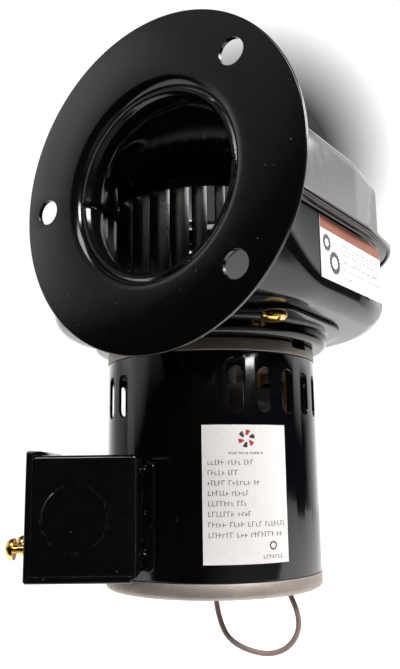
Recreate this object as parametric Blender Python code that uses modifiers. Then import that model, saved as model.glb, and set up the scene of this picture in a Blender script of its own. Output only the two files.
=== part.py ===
"""Combustion fan: a shaded pole motor hanging under a stamped scroll blower.

The origin is the centre of the outlet flange's front face. Air leaves along -Y,
and the shaft points up from the motor to the blower wheel. Sizes are in
millimetres, and every mesh is scaled to metres as it is made.
"""

from math import acos, asin, cos, degrees, radians, sin

import bmesh
import bpy
from mathutils import Matrix, Vector

MM = 0.001
GAP = 0.3  # between two pieces that touch
SHEET = 1.0

# Blower: the shaft's place beside the outlet, and the scroll round it.
AXIS = Vector((-37.6, 85.2, 0.0))
HALF_HEIGHT = 31.4
SCROLL_START_R = 63.0
SCROLL_END_R = 71.0
TONGUE_ANGLE = -91.0
SCROLL_SWEEP = 269.0
STRAIGHT_WALL_X = 31.4
DRAW_RADIUS = 8.5
NECK_DEPTHS = (2.0, 2.8, 4.5, 7.2, 9.5, 12.0, 15.0)
NECK_R = 28.9
MOUTH_CURL_R = 30.1
SEAM_LIP = 4.6
WHEEL_HOLE_R = 46.4
INLET_R = 33.0

# Outlet flange.
FLANGE_R = 54.0
FLANGE_BORE_R = 30.6
FLANGE_SHEET = 1.5
BOLT_CIRCLE_R = 44.45
BOLT_HOLE_R = 4.2
BOLT_ANGLES = (46.0, 180.0, -46.0)

# Adapter between the scroll and the motor: a round plate with two ears, and a dish.
PLATE_TOP = -HALF_HEIGHT - GAP
PLATE_R = 53.0
EAR_R = 9.0
EAR_REACH = 53.4
EAR_DIRECTIONS = (-31.0, 149.0)
DISH_R = 47.6
DISH_FLOOR = -38.9
DISH_SCREW_R = 55.2

# Motor.
SHELL_R = 42.0
SHELL_TOP = -44.3
SHELL_BOTTOM = -124.4
BELL_R = 42.2
BELL_TOP = -39.2
BELL_BOTTOM = -130.2
SLOT_WIDTH = 5.7
SLOT_HEIGHT = 16.0
SLOT_MIDDLE = -58.2
SLOT_MIRROR = -75.0  # the two rows of slots mirror about this direction
SLOT_FIRST = 32.5
SLOT_STEP = 15.0
SLOTS_A_SIDE = 9
BOLT_R = 36.6
BOLT_SHANK_R = 1.8
BOLT_DIRECTIONS = (-1.5, 88.5, 178.5, 268.5)
NOTCH_WIDTH = 9.5
NOTCH_FLOOR = -41.4
BELL_FACE = -127.2
MOTOR_SCREW_R = 27.0
POLE_DIRECTIONS = tuple(direction + 45.0 for direction in BOLT_DIRECTIONS)
POLE_HALF = 8.0
STACK_BOTTOM = -108.0
STACK_TOP = -76.0
STACK_R = 40.7
BORE_R = 20.6
ROTOR_R = 20.1
SHAFT_R = 3.97
SHAFT_BOTTOM = -128.4
SHAFT_TOP = -9.0

SPIGOT_R = 40.6
POCKET_R = 7.3
GROMMET_DIRECTION = -103.0
GROMMET_HEIGHT = -113.4
GROMMET_R = 3.6
SET_SCREW_DIRECTION = 30.0

# Blower wheel.
WHEEL_R = 44.0
WHEEL_BOTTOM = -29.0
WHEEL_TOP = 22.0
BLADES = 32
BLADE_DEPTH = 8.6

# Junction box, in a frame at the shaft that is turned to face it.
BOX_TURN = 35.0
BOX_LEFT, BOX_RIGHT = -59.8, -25.0
BOX_FRONT, BOX_BACK = -57.0, -20.0
BOX_BOTTOM, BOX_TOP = -120.5, -81.3
BOX_SHEET = 1.2
COVER_LIP = 2.4
KNOCKOUT = (-45.2, -101.8)
KNOCKOUT_R = 11.1
SCREW_PLACES = ((-51.0, -111.6), (-37.5, -111.6))

# The free lead's route in the junction box's frame, out of one hole in the
# bottom bell and back into the other.
LEAD_ROUTE = (
    (0.6, -14.0, -128.0), (0.7, -14.1, -134.0), (2.0, -14.4, -140.6), (4.4, -14.8, -146.0),
    (8.6, -15.2, -149.6), (14.6, -15.6, -151.9), (20.2, -15.7, -152.5), (25.2, -15.5, -151.2),
    (29.0, -15.0, -148.0), (30.9, -14.4, -143.6), (30.6, -13.8, -138.6), (28.8, -13.4, -133.6),
    (26.6, -13.2, -128.0),
)
LEAD_R = 1.0

FINISHES = {
    "gloss_black": ((0.012, 0.012, 0.014), 0.22, 0.0),
    "steel": ((0.45, 0.45, 0.46), 0.38, 1.0),
    "cast_aluminium": ((0.47, 0.42, 0.38), 0.55, 1.0),
    "brass": ((0.78, 0.58, 0.22), 0.28, 1.0),
    "bronze": ((0.52, 0.33, 0.18), 0.45, 1.0),
    "copper": ((0.62, 0.25, 0.12), 0.4, 1.0),
    "felt": ((0.55, 0.5, 0.42), 0.95, 0.0),
    "rubber": ((0.02, 0.02, 0.02), 0.7, 0.0),
    "lead_sleeve": ((0.2, 0.16, 0.15), 0.55, 0.0),
    "white_sleeve": ((0.8, 0.79, 0.76), 0.5, 0.0),
    "paper": ((0.85, 0.84, 0.82), 0.6, 0.0),
    "galvanised": ((0.6, 0.61, 0.62), 0.35, 1.0),
    "plastic": ((0.65, 0.62, 0.55), 0.5, 0.0),
}


# ---------------------------------------------------------------- helpers


def clear_scene():
    """Removes whatever the file opened with."""
    for obj in list(bpy.data.objects):
        bpy.data.objects.remove(obj, do_unlink=True)


def new_collection(name, hidden=False):
    """Makes a collection under the scene's own."""
    found = bpy.data.collections.new(name)
    found.hide_render = hidden
    bpy.context.scene.collection.children.link(found)
    return found


def finish(name):
    """Returns the named material, made on first use."""
    found = bpy.data.materials.get(name)
    if found:
        return found
    colour, roughness, metallic = FINISHES[name]
    found = bpy.data.materials.new(name)
    found.use_nodes = True
    shader = found.node_tree.nodes["Principled BSDF"]
    shader.inputs["Base Color"].default_value = (*colour, 1.0)
    shader.inputs["Roughness"].default_value = roughness
    shader.inputs["Metallic"].default_value = metallic
    return found


def add_object(name, mesh, finish_name=None):
    """Adds a mesh as a part, or as a hidden cutter where it has no finish."""
    obj = bpy.data.objects.new(name, mesh)
    if finish_name is None:
        CUTTERS.objects.link(obj)
        obj.hide_render = True
        obj.display_type = "WIRE"
    else:
        PARTS.objects.link(obj)
        obj.data.materials.append(finish(finish_name))
    return obj


def from_bmesh(name, shape, finish_name=None, matrix=None):
    """Closes a bmesh in millimetres into an object in metres."""
    bmesh.ops.transform(shape, matrix=matrix or Matrix(), verts=shape.verts)
    bmesh.ops.scale(shape, vec=(MM, MM, MM), verts=shape.verts)
    bmesh.ops.recalc_face_normals(shape, faces=shape.faces)
    mesh = bpy.data.meshes.new(name)
    shape.to_mesh(mesh)
    shape.free()
    mesh.shade_smooth()
    mesh.set_sharp_from_angle(angle=radians(35))
    return add_object(name, mesh, finish_name)


def box_into(shape, low, high, matrix=None):
    """Adds a box between two corners to a bmesh."""
    low, high = Vector(low), Vector(high)
    place = Matrix.Translation((low + high) / 2) @ Matrix.Diagonal((*(high - low), 1.0))
    bmesh.ops.create_cube(shape, size=1.0, matrix=(matrix or Matrix()) @ place)


def rod_into(shape, start, end, radius, sides=16, end_radius=None):
    """Adds a rod, or a cone where the end radius differs, to a bmesh."""
    start, end = Vector(start), Vector(end)
    turn = (end - start).to_track_quat("Z", "Y").to_matrix().to_4x4()
    bmesh.ops.create_cone(
        shape,
        cap_ends=True,
        segments=sides,
        radius1=radius,
        radius2=radius if end_radius is None else end_radius,
        depth=(end - start).length,
        matrix=Matrix.Translation((start + end) / 2) @ turn,
    )


def prism_into(shape, outline, low, high, matrix=None):
    """Adds a flat outline, extruded from low to high along Z, to a bmesh."""
    corners = [shape.verts.new((x, y, low)) for x, y in outline]
    face = shape.faces.new(corners)
    raised = bmesh.ops.extrude_face_region(shape, geom=[face])["geom"]
    upper = [v for v in raised if isinstance(v, bmesh.types.BMVert)]
    bmesh.ops.translate(shape, vec=(0, 0, high - low), verts=upper)
    if matrix:
        bmesh.ops.transform(shape, matrix=matrix, verts=corners + upper)


def box(name, low, high, finish_name=None, matrix=None):
    """Makes a box between two corners."""
    shape = bmesh.new()
    box_into(shape, low, high)
    return from_bmesh(name, shape, finish_name, matrix)


def prism(name, outline, low, high, finish_name=None, matrix=None):
    """Makes a flat outline into a plate."""
    shape = bmesh.new()
    prism_into(shape, outline, low, high)
    return from_bmesh(name, shape, finish_name, matrix)


def turned(name, profile, finish_name=None, matrix=None, steps=36, ring=True):
    """Turns a profile of (radius, height) pairs that runs down its outer side.

    A ring's profile closes on itself; otherwise it starts and ends on the axis.
    """
    shape = bmesh.new()
    points = [shape.verts.new((r * MM, 0, z * MM)) for r, z in profile]
    pairs = list(zip(points, points[1:]))
    if ring:
        pairs.append((points[-1], points[0]))
    for pair in pairs:
        shape.edges.new(pair)
    mesh = bpy.data.meshes.new(name)
    shape.to_mesh(mesh)
    shape.free()
    obj = add_object(name, mesh, finish_name)
    place = matrix or Matrix.Translation(AXIS)
    place = place.copy()
    place.translation *= MM
    obj.matrix_world = place
    screw = obj.modifiers.new("Turn", "SCREW")
    screw.steps = screw.render_steps = steps
    screw.use_merge_vertices = True
    screw.merge_threshold = 0.00001
    screw.use_smooth_shade = True
    return obj


def tube(name, points, radius, finish_name, matrix):
    """Makes a round wire along points."""
    curve = bpy.data.curves.new(name, "CURVE")
    curve.dimensions = "3D"
    curve.bevel_depth = radius * MM
    curve.bevel_resolution = 2
    curve.use_fill_caps = True
    spline = curve.splines.new("POLY")
    spline.points.add(len(points) - 1)
    for target, point in zip(spline.points, points):
        target.co = (*(matrix @ Vector(point) * MM), 1.0)
    obj = bpy.data.objects.new(name, curve)
    PARTS.objects.link(obj)
    curve.materials.append(finish(finish_name))
    return obj


def boolean(target, other, operation="DIFFERENCE"):
    """Cuts or joins another object into the target, and hides the other."""
    modifier = target.modifiers.new(other.name, "BOOLEAN")
    modifier.operation = operation
    modifier.solver = "EXACT"
    modifier.object = other
    return target


def around(direction, radius, height=0.0, centre=AXIS):
    """The point at this direction, in degrees, and distance from the shaft."""
    angle = radians(direction)
    return centre + Vector((radius * cos(angle), radius * sin(angle), height))


def arc(centre, radius, start, end, steps):
    """Points on an arc, with both ends."""
    angles = [radians(start + (end - start) * i / steps) for i in range(steps + 1)]
    return [(centre[0] + radius * cos(a), centre[1] + radius * sin(a)) for a in angles]


def smooth(value):
    """Eases from 0 to 1."""
    value = min(max(value, 0.0), 1.0)
    return value * value * (3 - 2 * value)


def rounded_rectangle(half_x, half_y, radius, steps=4):
    """Outline of a rectangle with round corners, about the origin."""
    outline = []
    for turn, (sx, sy) in zip((0, 90, 180, 270), ((1, 1), (-1, 1), (-1, -1), (1, -1))):
        centre = (sx * (half_x - radius), sy * (half_y - radius))
        outline += arc(centre, radius, turn, turn + 90, steps)
    return outline


def smooth_route(route, spacing):
    """Points about this far apart on a smooth curve through a route."""
    knots = [Vector(p) for p in route]
    knots = [2 * knots[0] - knots[1], *knots, 2 * knots[-1] - knots[-2]]
    found = []
    for a, b, c, d in zip(knots, knots[1:], knots[2:], knots[3:]):
        count = max(1, round((c - b).length / spacing))
        for i in range(count):
            t = i / count
            found.append(
                0.5 * (2 * b + (c - a) * t + (2 * a - 5 * b + 4 * c - d) * t**2)
                + 0.5 * (3 * b - a - 3 * c + d) * t**3
            )
    return [*found, knots[-2]]


# ---------------------------------------------------------------- scroll


def mouth_radius(y):
    """Outer radius of the round neck at this distance behind the flange."""
    curl = (MOUTH_CURL_R - NECK_R) * (1 - smooth((y - NECK_DEPTHS[0]) / 2.5))
    swell = (HALF_HEIGHT - NECK_R) * smooth((y - 8.0) / 7.0)
    return NECK_R + curl + swell


def scroll_radius(direction):
    """The scroll's outer radius, which grows clockwise from the tongue."""
    share = (TONGUE_ANGLE - direction) / SCROLL_SWEEP
    return SCROLL_START_R + (SCROLL_END_R - SCROLL_START_R) * min(share, 1.0)


def scroll_stations():
    """The housing's plan as (x, y, half height, draw radius), from the neck's
    tongue side, clockwise round the wheel and back to the neck."""
    stations = []
    for y in NECK_DEPTHS:
        radius = mouth_radius(y)
        stations.append((-radius, y, radius, radius - 0.4 - 16.0 * smooth((y - 6.0) / 14.0)))
    tongue_y = AXIS.y - SCROLL_START_R
    fillet = arc((-HALF_HEIGHT - 5.0, tongue_y - 5.0), 5.0, 0, 90, 4)
    for i, (x, y) in enumerate(fillet):
        stations.append((x, y, HALF_HEIGHT, 14.0 - i))
    for step in range(28):
        direction = TONGUE_ANGLE - 5.0 - 9.0 * step
        angle, radius = radians(direction), scroll_radius(direction)
        x, y = radius * cos(angle), radius * sin(angle)
        x = min(x, STRAIGHT_WALL_X - AXIS.x)
        draw = DRAW_RADIUS + 1.5 * (1 - smooth(step / 5))
        stations.append((AXIS.x + x, AXIS.y + y, HALF_HEIGHT, draw))
    for y in (84.0, 68.0, 56.0, 46.0, 38.0, 30.0, 24.0, 19.0, *reversed(NECK_DEPTHS)):
        radius = mouth_radius(y)
        full = radius - 0.4
        draw = DRAW_RADIUS + (full - DRAW_RADIUS) * (1 - smooth((y - 8.0) / 46.0))
        stations.append((radius, y, radius, draw))
    return stations


def outward_normals(stations):
    """The plan's outward normal at each station, square to the neck along it."""
    normals = []
    neck = len(NECK_DEPTHS)
    for i in range(len(stations)):
        if neck <= i < len(stations) - neck:
            before, after = stations[i - 1], stations[i + 1]
            along = Vector((after[0] - before[0], after[1] - before[1]))
        else:
            along = Vector((0.0, 1.0 if i < neck else -1.0))
        along.normalize()
        normals.append(Vector((-along.y, along.x)))
    return normals


def lip_width(y_from_mouth, width):
    """The seam lip grows from nothing just behind the flange's collar."""
    return 0.25 + (width - 0.25) * smooth((y_from_mouth - 7.2) / 4.0)


def pan_section(half, draw, lip, hem):
    """One half's section as outer and inner runs of (outset, depth) pairs.

    Depth grows away from the seam. Both runs have the same number of points.
    """
    edge = GAP / 2
    outer = [(lip, edge - hem), (lip, edge + SHEET)]
    outer += [(min(0.9, 0.6 * lip), edge + SHEET), (0.0, edge + 2 * SHEET)]
    inner = [(lip - SHEET * (hem > 0), edge - hem), (lip - SHEET * (hem > 0), edge)]
    inner += [(0.1, edge), (-SHEET, edge + SHEET)]
    for i in range(5):
        angle = radians(90 * i / 4)
        inset = draw * (1 - cos(angle))
        depth = half - draw + draw * sin(angle)
        outer.append((-inset, max(depth, edge + 2.2 * SHEET)))
        inner_draw = max(draw - SHEET, 0.3)
        inset = SHEET + inner_draw * (1 - cos(angle))
        depth = half - SHEET - inner_draw + inner_draw * sin(angle)
        inner.append((-inset, max(depth, edge + 1.3 * SHEET)))
    return outer, inner


def pan_shell(name, side, hem):
    """One stamped half of the scroll. Side is -1 for the lower half."""
    stations = scroll_stations()
    normals = outward_normals(stations)
    shape = bmesh.new()
    skins = ([], [])
    for (x, y, half, draw), normal in zip(stations, normals):
        near_mouth = y if abs(x) < HALF_HEIGHT + 1 else 30.0
        width = lip_width(near_mouth, SEAM_LIP)
        if not hem:
            width = max(width - SHEET - GAP, 0.2)
        runs = pan_section(half, draw, width, hem if width > 2.5 else 0.0)
        for skin, run in zip(skins, runs):
            places = [(x + normal.x * out, y + normal.y * out, side * depth) for out, depth in run]
            skin.append([shape.verts.new(place) for place in places])
    outer, inner = skins
    last = len(outer[0]) - 1
    for skin in skins:
        for one, two in zip(skin, skin[1:]):
            for j in range(last):
                shape.faces.new((one[j], one[j + 1], two[j + 1], two[j]))
        floor = [ring[last] for ring in skin]
        for i in range(len(NECK_DEPTHS) - 1):
            shape.faces.new((floor[i], floor[i + 1], floor[-2 - i], floor[-1 - i]))
        end = len(NECK_DEPTHS) - 1
        shape.faces.new(floor[end : len(floor) - end])
    for one, two, three, four in zip(outer, outer[1:], inner[1:], inner):
        shape.faces.new((one[0], two[0], three[0], four[0]))
    for end in (0, -1):
        for j in range(last):
            shape.faces.new((outer[end][j], outer[end][j + 1], inner[end][j + 1], inner[end][j]))
    shape.faces.new((outer[0][last], outer[-1][last], inner[-1][last], inner[0][last]))
    return from_bmesh(name, shape, "gloss_black")


def round_cutter(name, places, radius, low, high, sides):
    """One cutter of several upright rods."""
    shape = bmesh.new()
    for place in places:
        rod_into(shape, (place[0], place[1], low), (place[0], place[1], high), radius, sides)
    return from_bmesh(name, shape)


def dish_screw_places():
    """Where the adapter screws stand."""
    return [around(direction, DISH_SCREW_R) for direction in EAR_DIRECTIONS]


def motor_screw_places():
    """Where the screws that hold the motor to the dish stand."""
    return [around(direction, MOTOR_SCREW_R) for direction in POLE_DIRECTIONS]


def build_scroll():
    """Both halves of the housing, with the wheel's hole below and the inlet above."""
    lower = pan_shell("lower_pan", -1, 0.0)
    boolean(lower, round_cutter("cut_wheel_hole", [AXIS], WHEEL_HOLE_R, -40, -26, 36))
    boolean(lower, round_cutter("cut_pan_screws", dish_screw_places(), 2.1, -40, -26, 10))
    pin_hole = Vector((10.0, 92.0))
    boolean(lower, round_cutter("cut_pan_pin_hole", [pin_hole], 1.3, -40, -26, 12))
    upper = pan_shell("upper_pan", 1, 1.6)
    boolean(upper, round_cutter("cut_inlet", [AXIS], INLET_R, 26, 40, 36))
    lip = turned(
        "join_inlet_lip",
        [(INLET_R + 1.5, HALF_HEIGHT - 0.2), (INLET_R + 1.5, HALF_HEIGHT - 0.8),
         (INLET_R + 0.3, HALF_HEIGHT - 1.6), (INLET_R - 0.6, HALF_HEIGHT - 3.2),
         (INLET_R - 0.8, HALF_HEIGHT - 5.4), (INLET_R - 1.8, HALF_HEIGHT - 5.4),
         (INLET_R - 1.6, HALF_HEIGHT - 2.8), (INLET_R - 0.6, HALF_HEIGHT - 0.9)],
    )
    boolean(upper, lip, "UNION")


def build_flange():
    """The round mounting flange with its rolled collar and three holes."""
    bore, sheet = FLANGE_BORE_R, FLANGE_SHEET
    profile = [
        (FLANGE_R - 0.3, 0.0), (FLANGE_R, -0.4), (FLANGE_R, -sheet + 0.3), (FLANGE_R - 0.3, -sheet),
        (bore + 4.4, -sheet), (bore + 2.6, -sheet - 0.7), (bore + 1.5, -sheet - 2.2),
        (bore + 1.2, -7.0), (bore, -7.0), (bore, -3.4), (bore + 0.5, -1.7), (bore + 1.5, -0.6),
        (bore + 3.0, 0.0),
    ]
    facing = Matrix.Rotation(radians(90), 4, "X")
    flange = turned("outlet_flange", profile, "gloss_black", facing, steps=48)
    shape = bmesh.new()
    for angle in BOLT_ANGLES:
        x = BOLT_CIRCLE_R * cos(radians(angle))
        z = BOLT_CIRCLE_R * sin(radians(angle))
        rod_into(shape, (x, -3, z), (x, 5, z), BOLT_HOLE_R, 24)
    boolean(flange, from_bmesh("cut_flange_holes", shape))


def eared_outline():
    """The plate's outline: a circle and two ears, with straight tangents between."""
    turn = degrees(acos((PLATE_R - EAR_R) / EAR_REACH))
    outline = []
    for start, side in ((0, 1), (180, -1)):
        outline += arc((side * EAR_REACH, 0), EAR_R, start - turn, start + turn, 6)
        outline += arc((0, 0), PLATE_R, start + turn, start + 180 - turn, 16)
    return outline


def build_adapter():
    """The eared plate with its dish, which hangs the motor under the scroll."""
    place = Matrix.Translation(AXIS) @ Matrix.Rotation(radians(EAR_DIRECTIONS[0]), 4, "Z")
    outline = eared_outline()
    adapter = prism("adapter_dish", outline, PLATE_TOP - 1.2, PLATE_TOP, "gloss_black", place)
    boolean(adapter, round_cutter("cut_dish_mouth", [AXIS], DISH_R - 2.0, -40, -28, 36))
    top = PLATE_TOP - 0.3
    dish = turned(
        "join_dish",
        [(DISH_R + 0.6, top), (DISH_R, top - 1.4),
         (DISH_R, DISH_FLOOR + 2.6), (DISH_R - 0.8, DISH_FLOOR + 0.8),
         (DISH_R - 2.6, DISH_FLOOR), (12.0, DISH_FLOOR), (12.0, DISH_FLOOR + 1.2),
         (DISH_R - 3.0, DISH_FLOOR + 1.2), (DISH_R - 1.2, DISH_FLOOR + 3.0), (DISH_R - 1.3, top)],
    )
    boolean(adapter, dish, "UNION")
    boolean(adapter, round_cutter("cut_plate_screws", dish_screw_places(), 2.1, -40, -28, 10))
    boolean(adapter, round_cutter("cut_dish_floor", motor_screw_places(), 2.2, -42, -34, 8))


# ---------------------------------------------------------------- fasteners


def pan_screw(name, seat, points_to, head, shank, finish_name, recess=True):
    """A pan head screw, with a cross recess where its head can be seen.

    The seat is the point under the head, points_to is the way the shank runs,
    and head and shank are (radius, length) pairs.
    """
    head_r, head_h = head
    shank_r, length = shank
    turn = Vector(points_to).to_track_quat("Z", "Y").to_matrix().to_4x4()
    place = Matrix.Translation(seat) @ turn
    profile = [
        (0, length), (shank_r - 0.4, length), (shank_r, length - 0.5), (shank_r, 0), (head_r, 0),
        (head_r, -0.35 * head_h), (0.8 * head_r, -0.82 * head_h), (0.4 * head_r, -head_h), (0, -head_h),
    ]
    screw = turned(name, profile, finish_name, place, steps=10, ring=False)
    if not recess:
        return screw
    arm, slot = 0.55 * head_r, 0.13 * head_r
    cross = [
        (arm, slot), (slot, slot), (slot, arm), (-slot, arm), (-slot, slot), (-arm, slot),
        (-arm, -slot), (-slot, -slot), (-slot, -arm), (slot, -arm), (slot, -slot), (arm, -slot),
    ]
    return boolean(screw, prism("cut_" + name, cross, -head_h - 1, -0.4 * head_h, None, place))


def hex_nut(name, bottom, height, across, bore_r, finish_name):
    """A hexagon nut on an upright bolt."""
    shape = bmesh.new()
    top = bottom + Vector((0, 0, height))
    rod_into(shape, bottom, top, across / 2 / cos(radians(30)), 6)
    nut = from_bmesh(name, shape, finish_name)
    return boolean(nut, round_cutter("cut_" + name, [bottom], bore_r, bottom.z - 1, top.z + 1, 16))


def build_fasteners():
    """The screws and bolts that hold the blower and the motor together."""
    for i, place in enumerate(dish_screw_places(), start=1):
        seat = place + Vector((0, 0, PLATE_TOP - 1.2 - GAP))
        pan_screw(f"adapter_screw_{i}", seat, (0, 0, 1), (4.7, 2.8), (1.8, 5.4), "brass")
    for i, place in enumerate(motor_screw_places(), start=1):
        seat = place + Vector((0, 0, DISH_FLOOR + 1.2 + GAP))
        pan_screw(f"motor_screw_{i}", seat, (0, 0, -1), (3.6, 2.2), (1.8, 4.6), "steel", False)
    for i, direction in enumerate(BOLT_DIRECTIONS, start=1):
        seat = around(direction, BOLT_R, NOTCH_FLOOR + GAP)
        length = seat.z - (BELL_BOTTOM + 0.5)
        pan_screw(f"through_bolt_{i}", seat, (0, 0, -1), (2.9, 1.7), (BOLT_SHANK_R, length), "brass", False)
        nut = around(direction, BOLT_R, BELL_FACE - GAP - 2.3)
        hex_nut(f"bolt_nut_{i}", nut, 2.3, 5.0, BOLT_SHANK_R + 0.2, "steel")


# ---------------------------------------------------------------- motor


def slot_directions():
    """The directions of the shell's upright vent slots, in two mirrored rows."""
    offsets = [SLOT_FIRST + SLOT_STEP * i for i in range(SLOTS_A_SIDE)]
    return [SLOT_MIRROR + side * offset for offset in offsets for side in (1, -1)]


def radial(direction, height=0.0):
    """A frame at the shaft whose Z runs outward and whose Y runs up."""
    turn = Matrix.Rotation(radians(direction + 90), 4, "Z") @ Matrix.Rotation(radians(90), 4, "X")
    return Matrix.Translation(AXIS + Vector((0, 0, height))) @ turn


def build_shell():
    """The shell with its vent slots and the hole for the supply leads."""
    shell = turned(
        "motor_shell",
        [(SHELL_R - 0.2, SHELL_TOP), (SHELL_R, SHELL_TOP - 0.2), (SHELL_R, SHELL_BOTTOM),
         (SHELL_R - SHEET, SHELL_BOTTOM), (SHELL_R - SHEET, SHELL_TOP)],
        "gloss_black",
        steps=60,
    )
    shape = bmesh.new()
    end = SLOT_WIDTH / 2
    outline = rounded_rectangle(end, SLOT_HEIGHT / 2, end - 0.05, 2)
    for direction in slot_directions():
        prism_into(shape, outline, SHELL_R - 4, SHELL_R + 3, radial(direction, SLOT_MIDDLE))
    boolean(shell, from_bmesh("cut_slots", shape))
    shape = bmesh.new()
    rod_into(shape, (0, 0, SHELL_R - 4), (0, 0, SHELL_R + 3), GROMMET_R + GAP, 20)
    boolean(shell, from_bmesh("cut_lead_hole", shape, None, radial(GROMMET_DIRECTION, GROMMET_HEIGHT)))


def build_bells():
    """The two cast end bells, with the bearings, felts and their own cuts."""
    top = turned(
        "top_bell",
        [(4.6, BELL_TOP), (BELL_R - 0.8, BELL_TOP), (BELL_R, BELL_TOP - 0.8), (BELL_R, SHELL_TOP + GAP),
         (SPIGOT_R, SHELL_TOP + GAP), (SPIGOT_R, SHELL_TOP - 3.2), (SPIGOT_R - 1.8, SHELL_TOP - 3.2),
         (SPIGOT_R - 1.8, -43.4), (10.5, -43.4), (10.5, -52.0), (POCKET_R, -52.0), (POCKET_R, -40.6),
         (4.6, -40.6)],
        "cast_aluminium",
        steps=36,
    )
    shape = bmesh.new()
    for direction in BOLT_DIRECTIONS:
        low = (-NOTCH_WIDTH / 2, NOTCH_FLOOR, BOLT_R - 3.6)
        box_into(shape, low, (NOTCH_WIDTH / 2, BELL_TOP + 2, BELL_R + 3), radial(direction))
    boolean(top, from_bmesh("cut_notches", shape))
    bolts = [around(direction, BOLT_R) for direction in BOLT_DIRECTIONS]
    boolean(top, round_cutter("cut_top_bolts", bolts, BOLT_SHANK_R + 0.3, -48, -36, 8))
    boolean(top, round_cutter("cut_motor_screws", motor_screw_places(), 2.2, -48, -36, 8))
    bottom = turned(
        "bottom_bell",
        [(SPIGOT_R, SHELL_BOTTOM + 3.2), (SPIGOT_R, SHELL_BOTTOM - GAP), (BELL_R, SHELL_BOTTOM - GAP),
         (BELL_R, -128.4), (BELL_R - 0.5, -129.7), (BELL_R - 1.6, BELL_BOTTOM), (40.4, BELL_BOTTOM),
         (40.0, BELL_FACE), (9.8, BELL_FACE), (9.2, -128.8), (4.6, -128.8),
         (4.6, -127.6), (POCKET_R, -127.6), (POCKET_R, -114.0), (10.5, -114.0), (10.5, -124.8),
         (SPIGOT_R - 1.8, -124.8), (SPIGOT_R - 1.8, SHELL_BOTTOM + 3.2)],
        "cast_aluminium",
        steps=36,
    )
    boolean(bottom, round_cutter("cut_bottom_bolts", bolts, BOLT_SHANK_R + 0.3, -132, -118, 8))
    ends = [BOX_FRAME @ Vector(LEAD_ROUTE[end]) for end in (0, -1)]
    boolean(bottom, round_cutter("cut_lead_bores", ends, 2.3, -132, -118, 10))
    for i, end in enumerate(ends, start=1):
        place = Matrix.Translation((end.x, end.y, BELL_FACE))
        profile = [(2.0, 2.2), (2.0, -GAP), (3.4, -GAP), (3.4, -1.4)]
        profile += [(LEAD_R + GAP, -1.4), (LEAD_R + GAP, 2.2)]
        turned(f"lead_bushing_{i}", profile, "rubber", place, steps=10)
    for name, low, high in (("upper", -51.0, -41.0), ("lower", -127.2, -115.0)):
        profile = [(5.6, high), (5.6, low), (SHAFT_R + 0.13, low), (SHAFT_R + 0.13, high)]
        turned(f"{name}_bearing", profile, "bronze", steps=16)
        profile = [(7.0, high - 1.5), (7.0, low + 1.5), (5.9, low + 1.5), (5.9, high - 1.5)]
        turned(f"{name}_oil_felt", profile, "felt", steps=16)


def sector(inner, outer, start, end, steps=4):
    """Outline of part of a ring, about the origin."""
    return arc((0, 0), outer, start, end, steps) + arc((0, 0), inner, end, start, steps)


def build_stator():
    """The laminated stack with four poles, their coils and shading rings."""
    place = Matrix.Translation(AXIS)
    stack = prism(
        "stator_core", arc((0, 0), STACK_R, 0, 350, 35), STACK_BOTTOM, STACK_TOP, "steel", place
    )
    boolean(stack, round_cutter("cut_bore", [AXIS], BORE_R, -112, -72, 36))
    shape = bmesh.new()
    high, low = 33.5, 25.0
    for direction in BOLT_DIRECTIONS:
        turn = place @ Matrix.Rotation(radians(direction), 4, "Z")
        wide, narrow = (45 - degrees(asin(POLE_HALF / r)) for r in (high, low))
        outline = arc((0, 0), high, -wide, wide, 6) + arc((0, 0), low, narrow, -narrow, 4)
        prism_into(shape, outline, -112, -72, turn)
    boolean(stack, from_bmesh("cut_windows", shape))
    shape = bmesh.new()
    for direction in BOLT_DIRECTIONS:
        turn = place @ Matrix.Rotation(radians(direction), 4, "Z")
        prism_into(shape, sector(BORE_R - 1, low + 1, -6.9, 6.9), -112, -72, turn)
    boolean(stack, from_bmesh("cut_tip_gaps", shape))
    shape = bmesh.new()
    for direction in POLE_DIRECTIONS:
        turn = place @ Matrix.Rotation(radians(direction), 4, "Z")
        prism_into(shape, sector(21.7, 23.9, 12.4, 17.8, 2), -112, -72, turn)
    boolean(stack, from_bmesh("cut_shading_holes", shape))
    bolts = [around(direction, BOLT_R) for direction in BOLT_DIRECTIONS]
    boolean(stack, round_cutter("cut_stack_bolts", bolts, BOLT_SHANK_R + 0.3, -112, -72, 8))
    middle = (STACK_TOP + STACK_BOTTOM) / 2
    reach = (STACK_TOP - STACK_BOTTOM) / 2
    for i, direction in enumerate(POLE_DIRECTIONS, start=1):
        face = radial(direction, middle)
        outline = rounded_rectangle(13.0, reach + 6.2, 4.0, 3)
        coil = prism(f"field_coil_{i}", outline, low + GAP, 30.0, "copper", face)
        outline = rounded_rectangle(POLE_HALF + GAP, reach + GAP, GAP, 1)
        boolean(coil, prism(f"cut_coil_{i}", outline, 20, 35, None, face))
        turn = place @ Matrix.Rotation(radians(direction), 4, "Z")
        ring = prism(
            f"shading_ring_{i}", sector(22.0, 23.6, 13.0, 42.4, 3),
            STACK_BOTTOM - 1.8, STACK_TOP + 1.8, "copper", turn,
        )
        hole = sector(20.0, 26.0, 17.2, 38.5, 3)
        hole_cut = prism(f"cut_ring_{i}", hole, STACK_BOTTOM - GAP, STACK_TOP + GAP, None, turn)
        boolean(ring, hole_cut)
    face = radial(POLE_DIRECTIONS[3], middle - reach - 6.2 - GAP - 2.0)
    box("thermal_protector", (-6.0, -2.0, 24.5), (6.0, 2.0, 31.5), "plastic", face)


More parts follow.
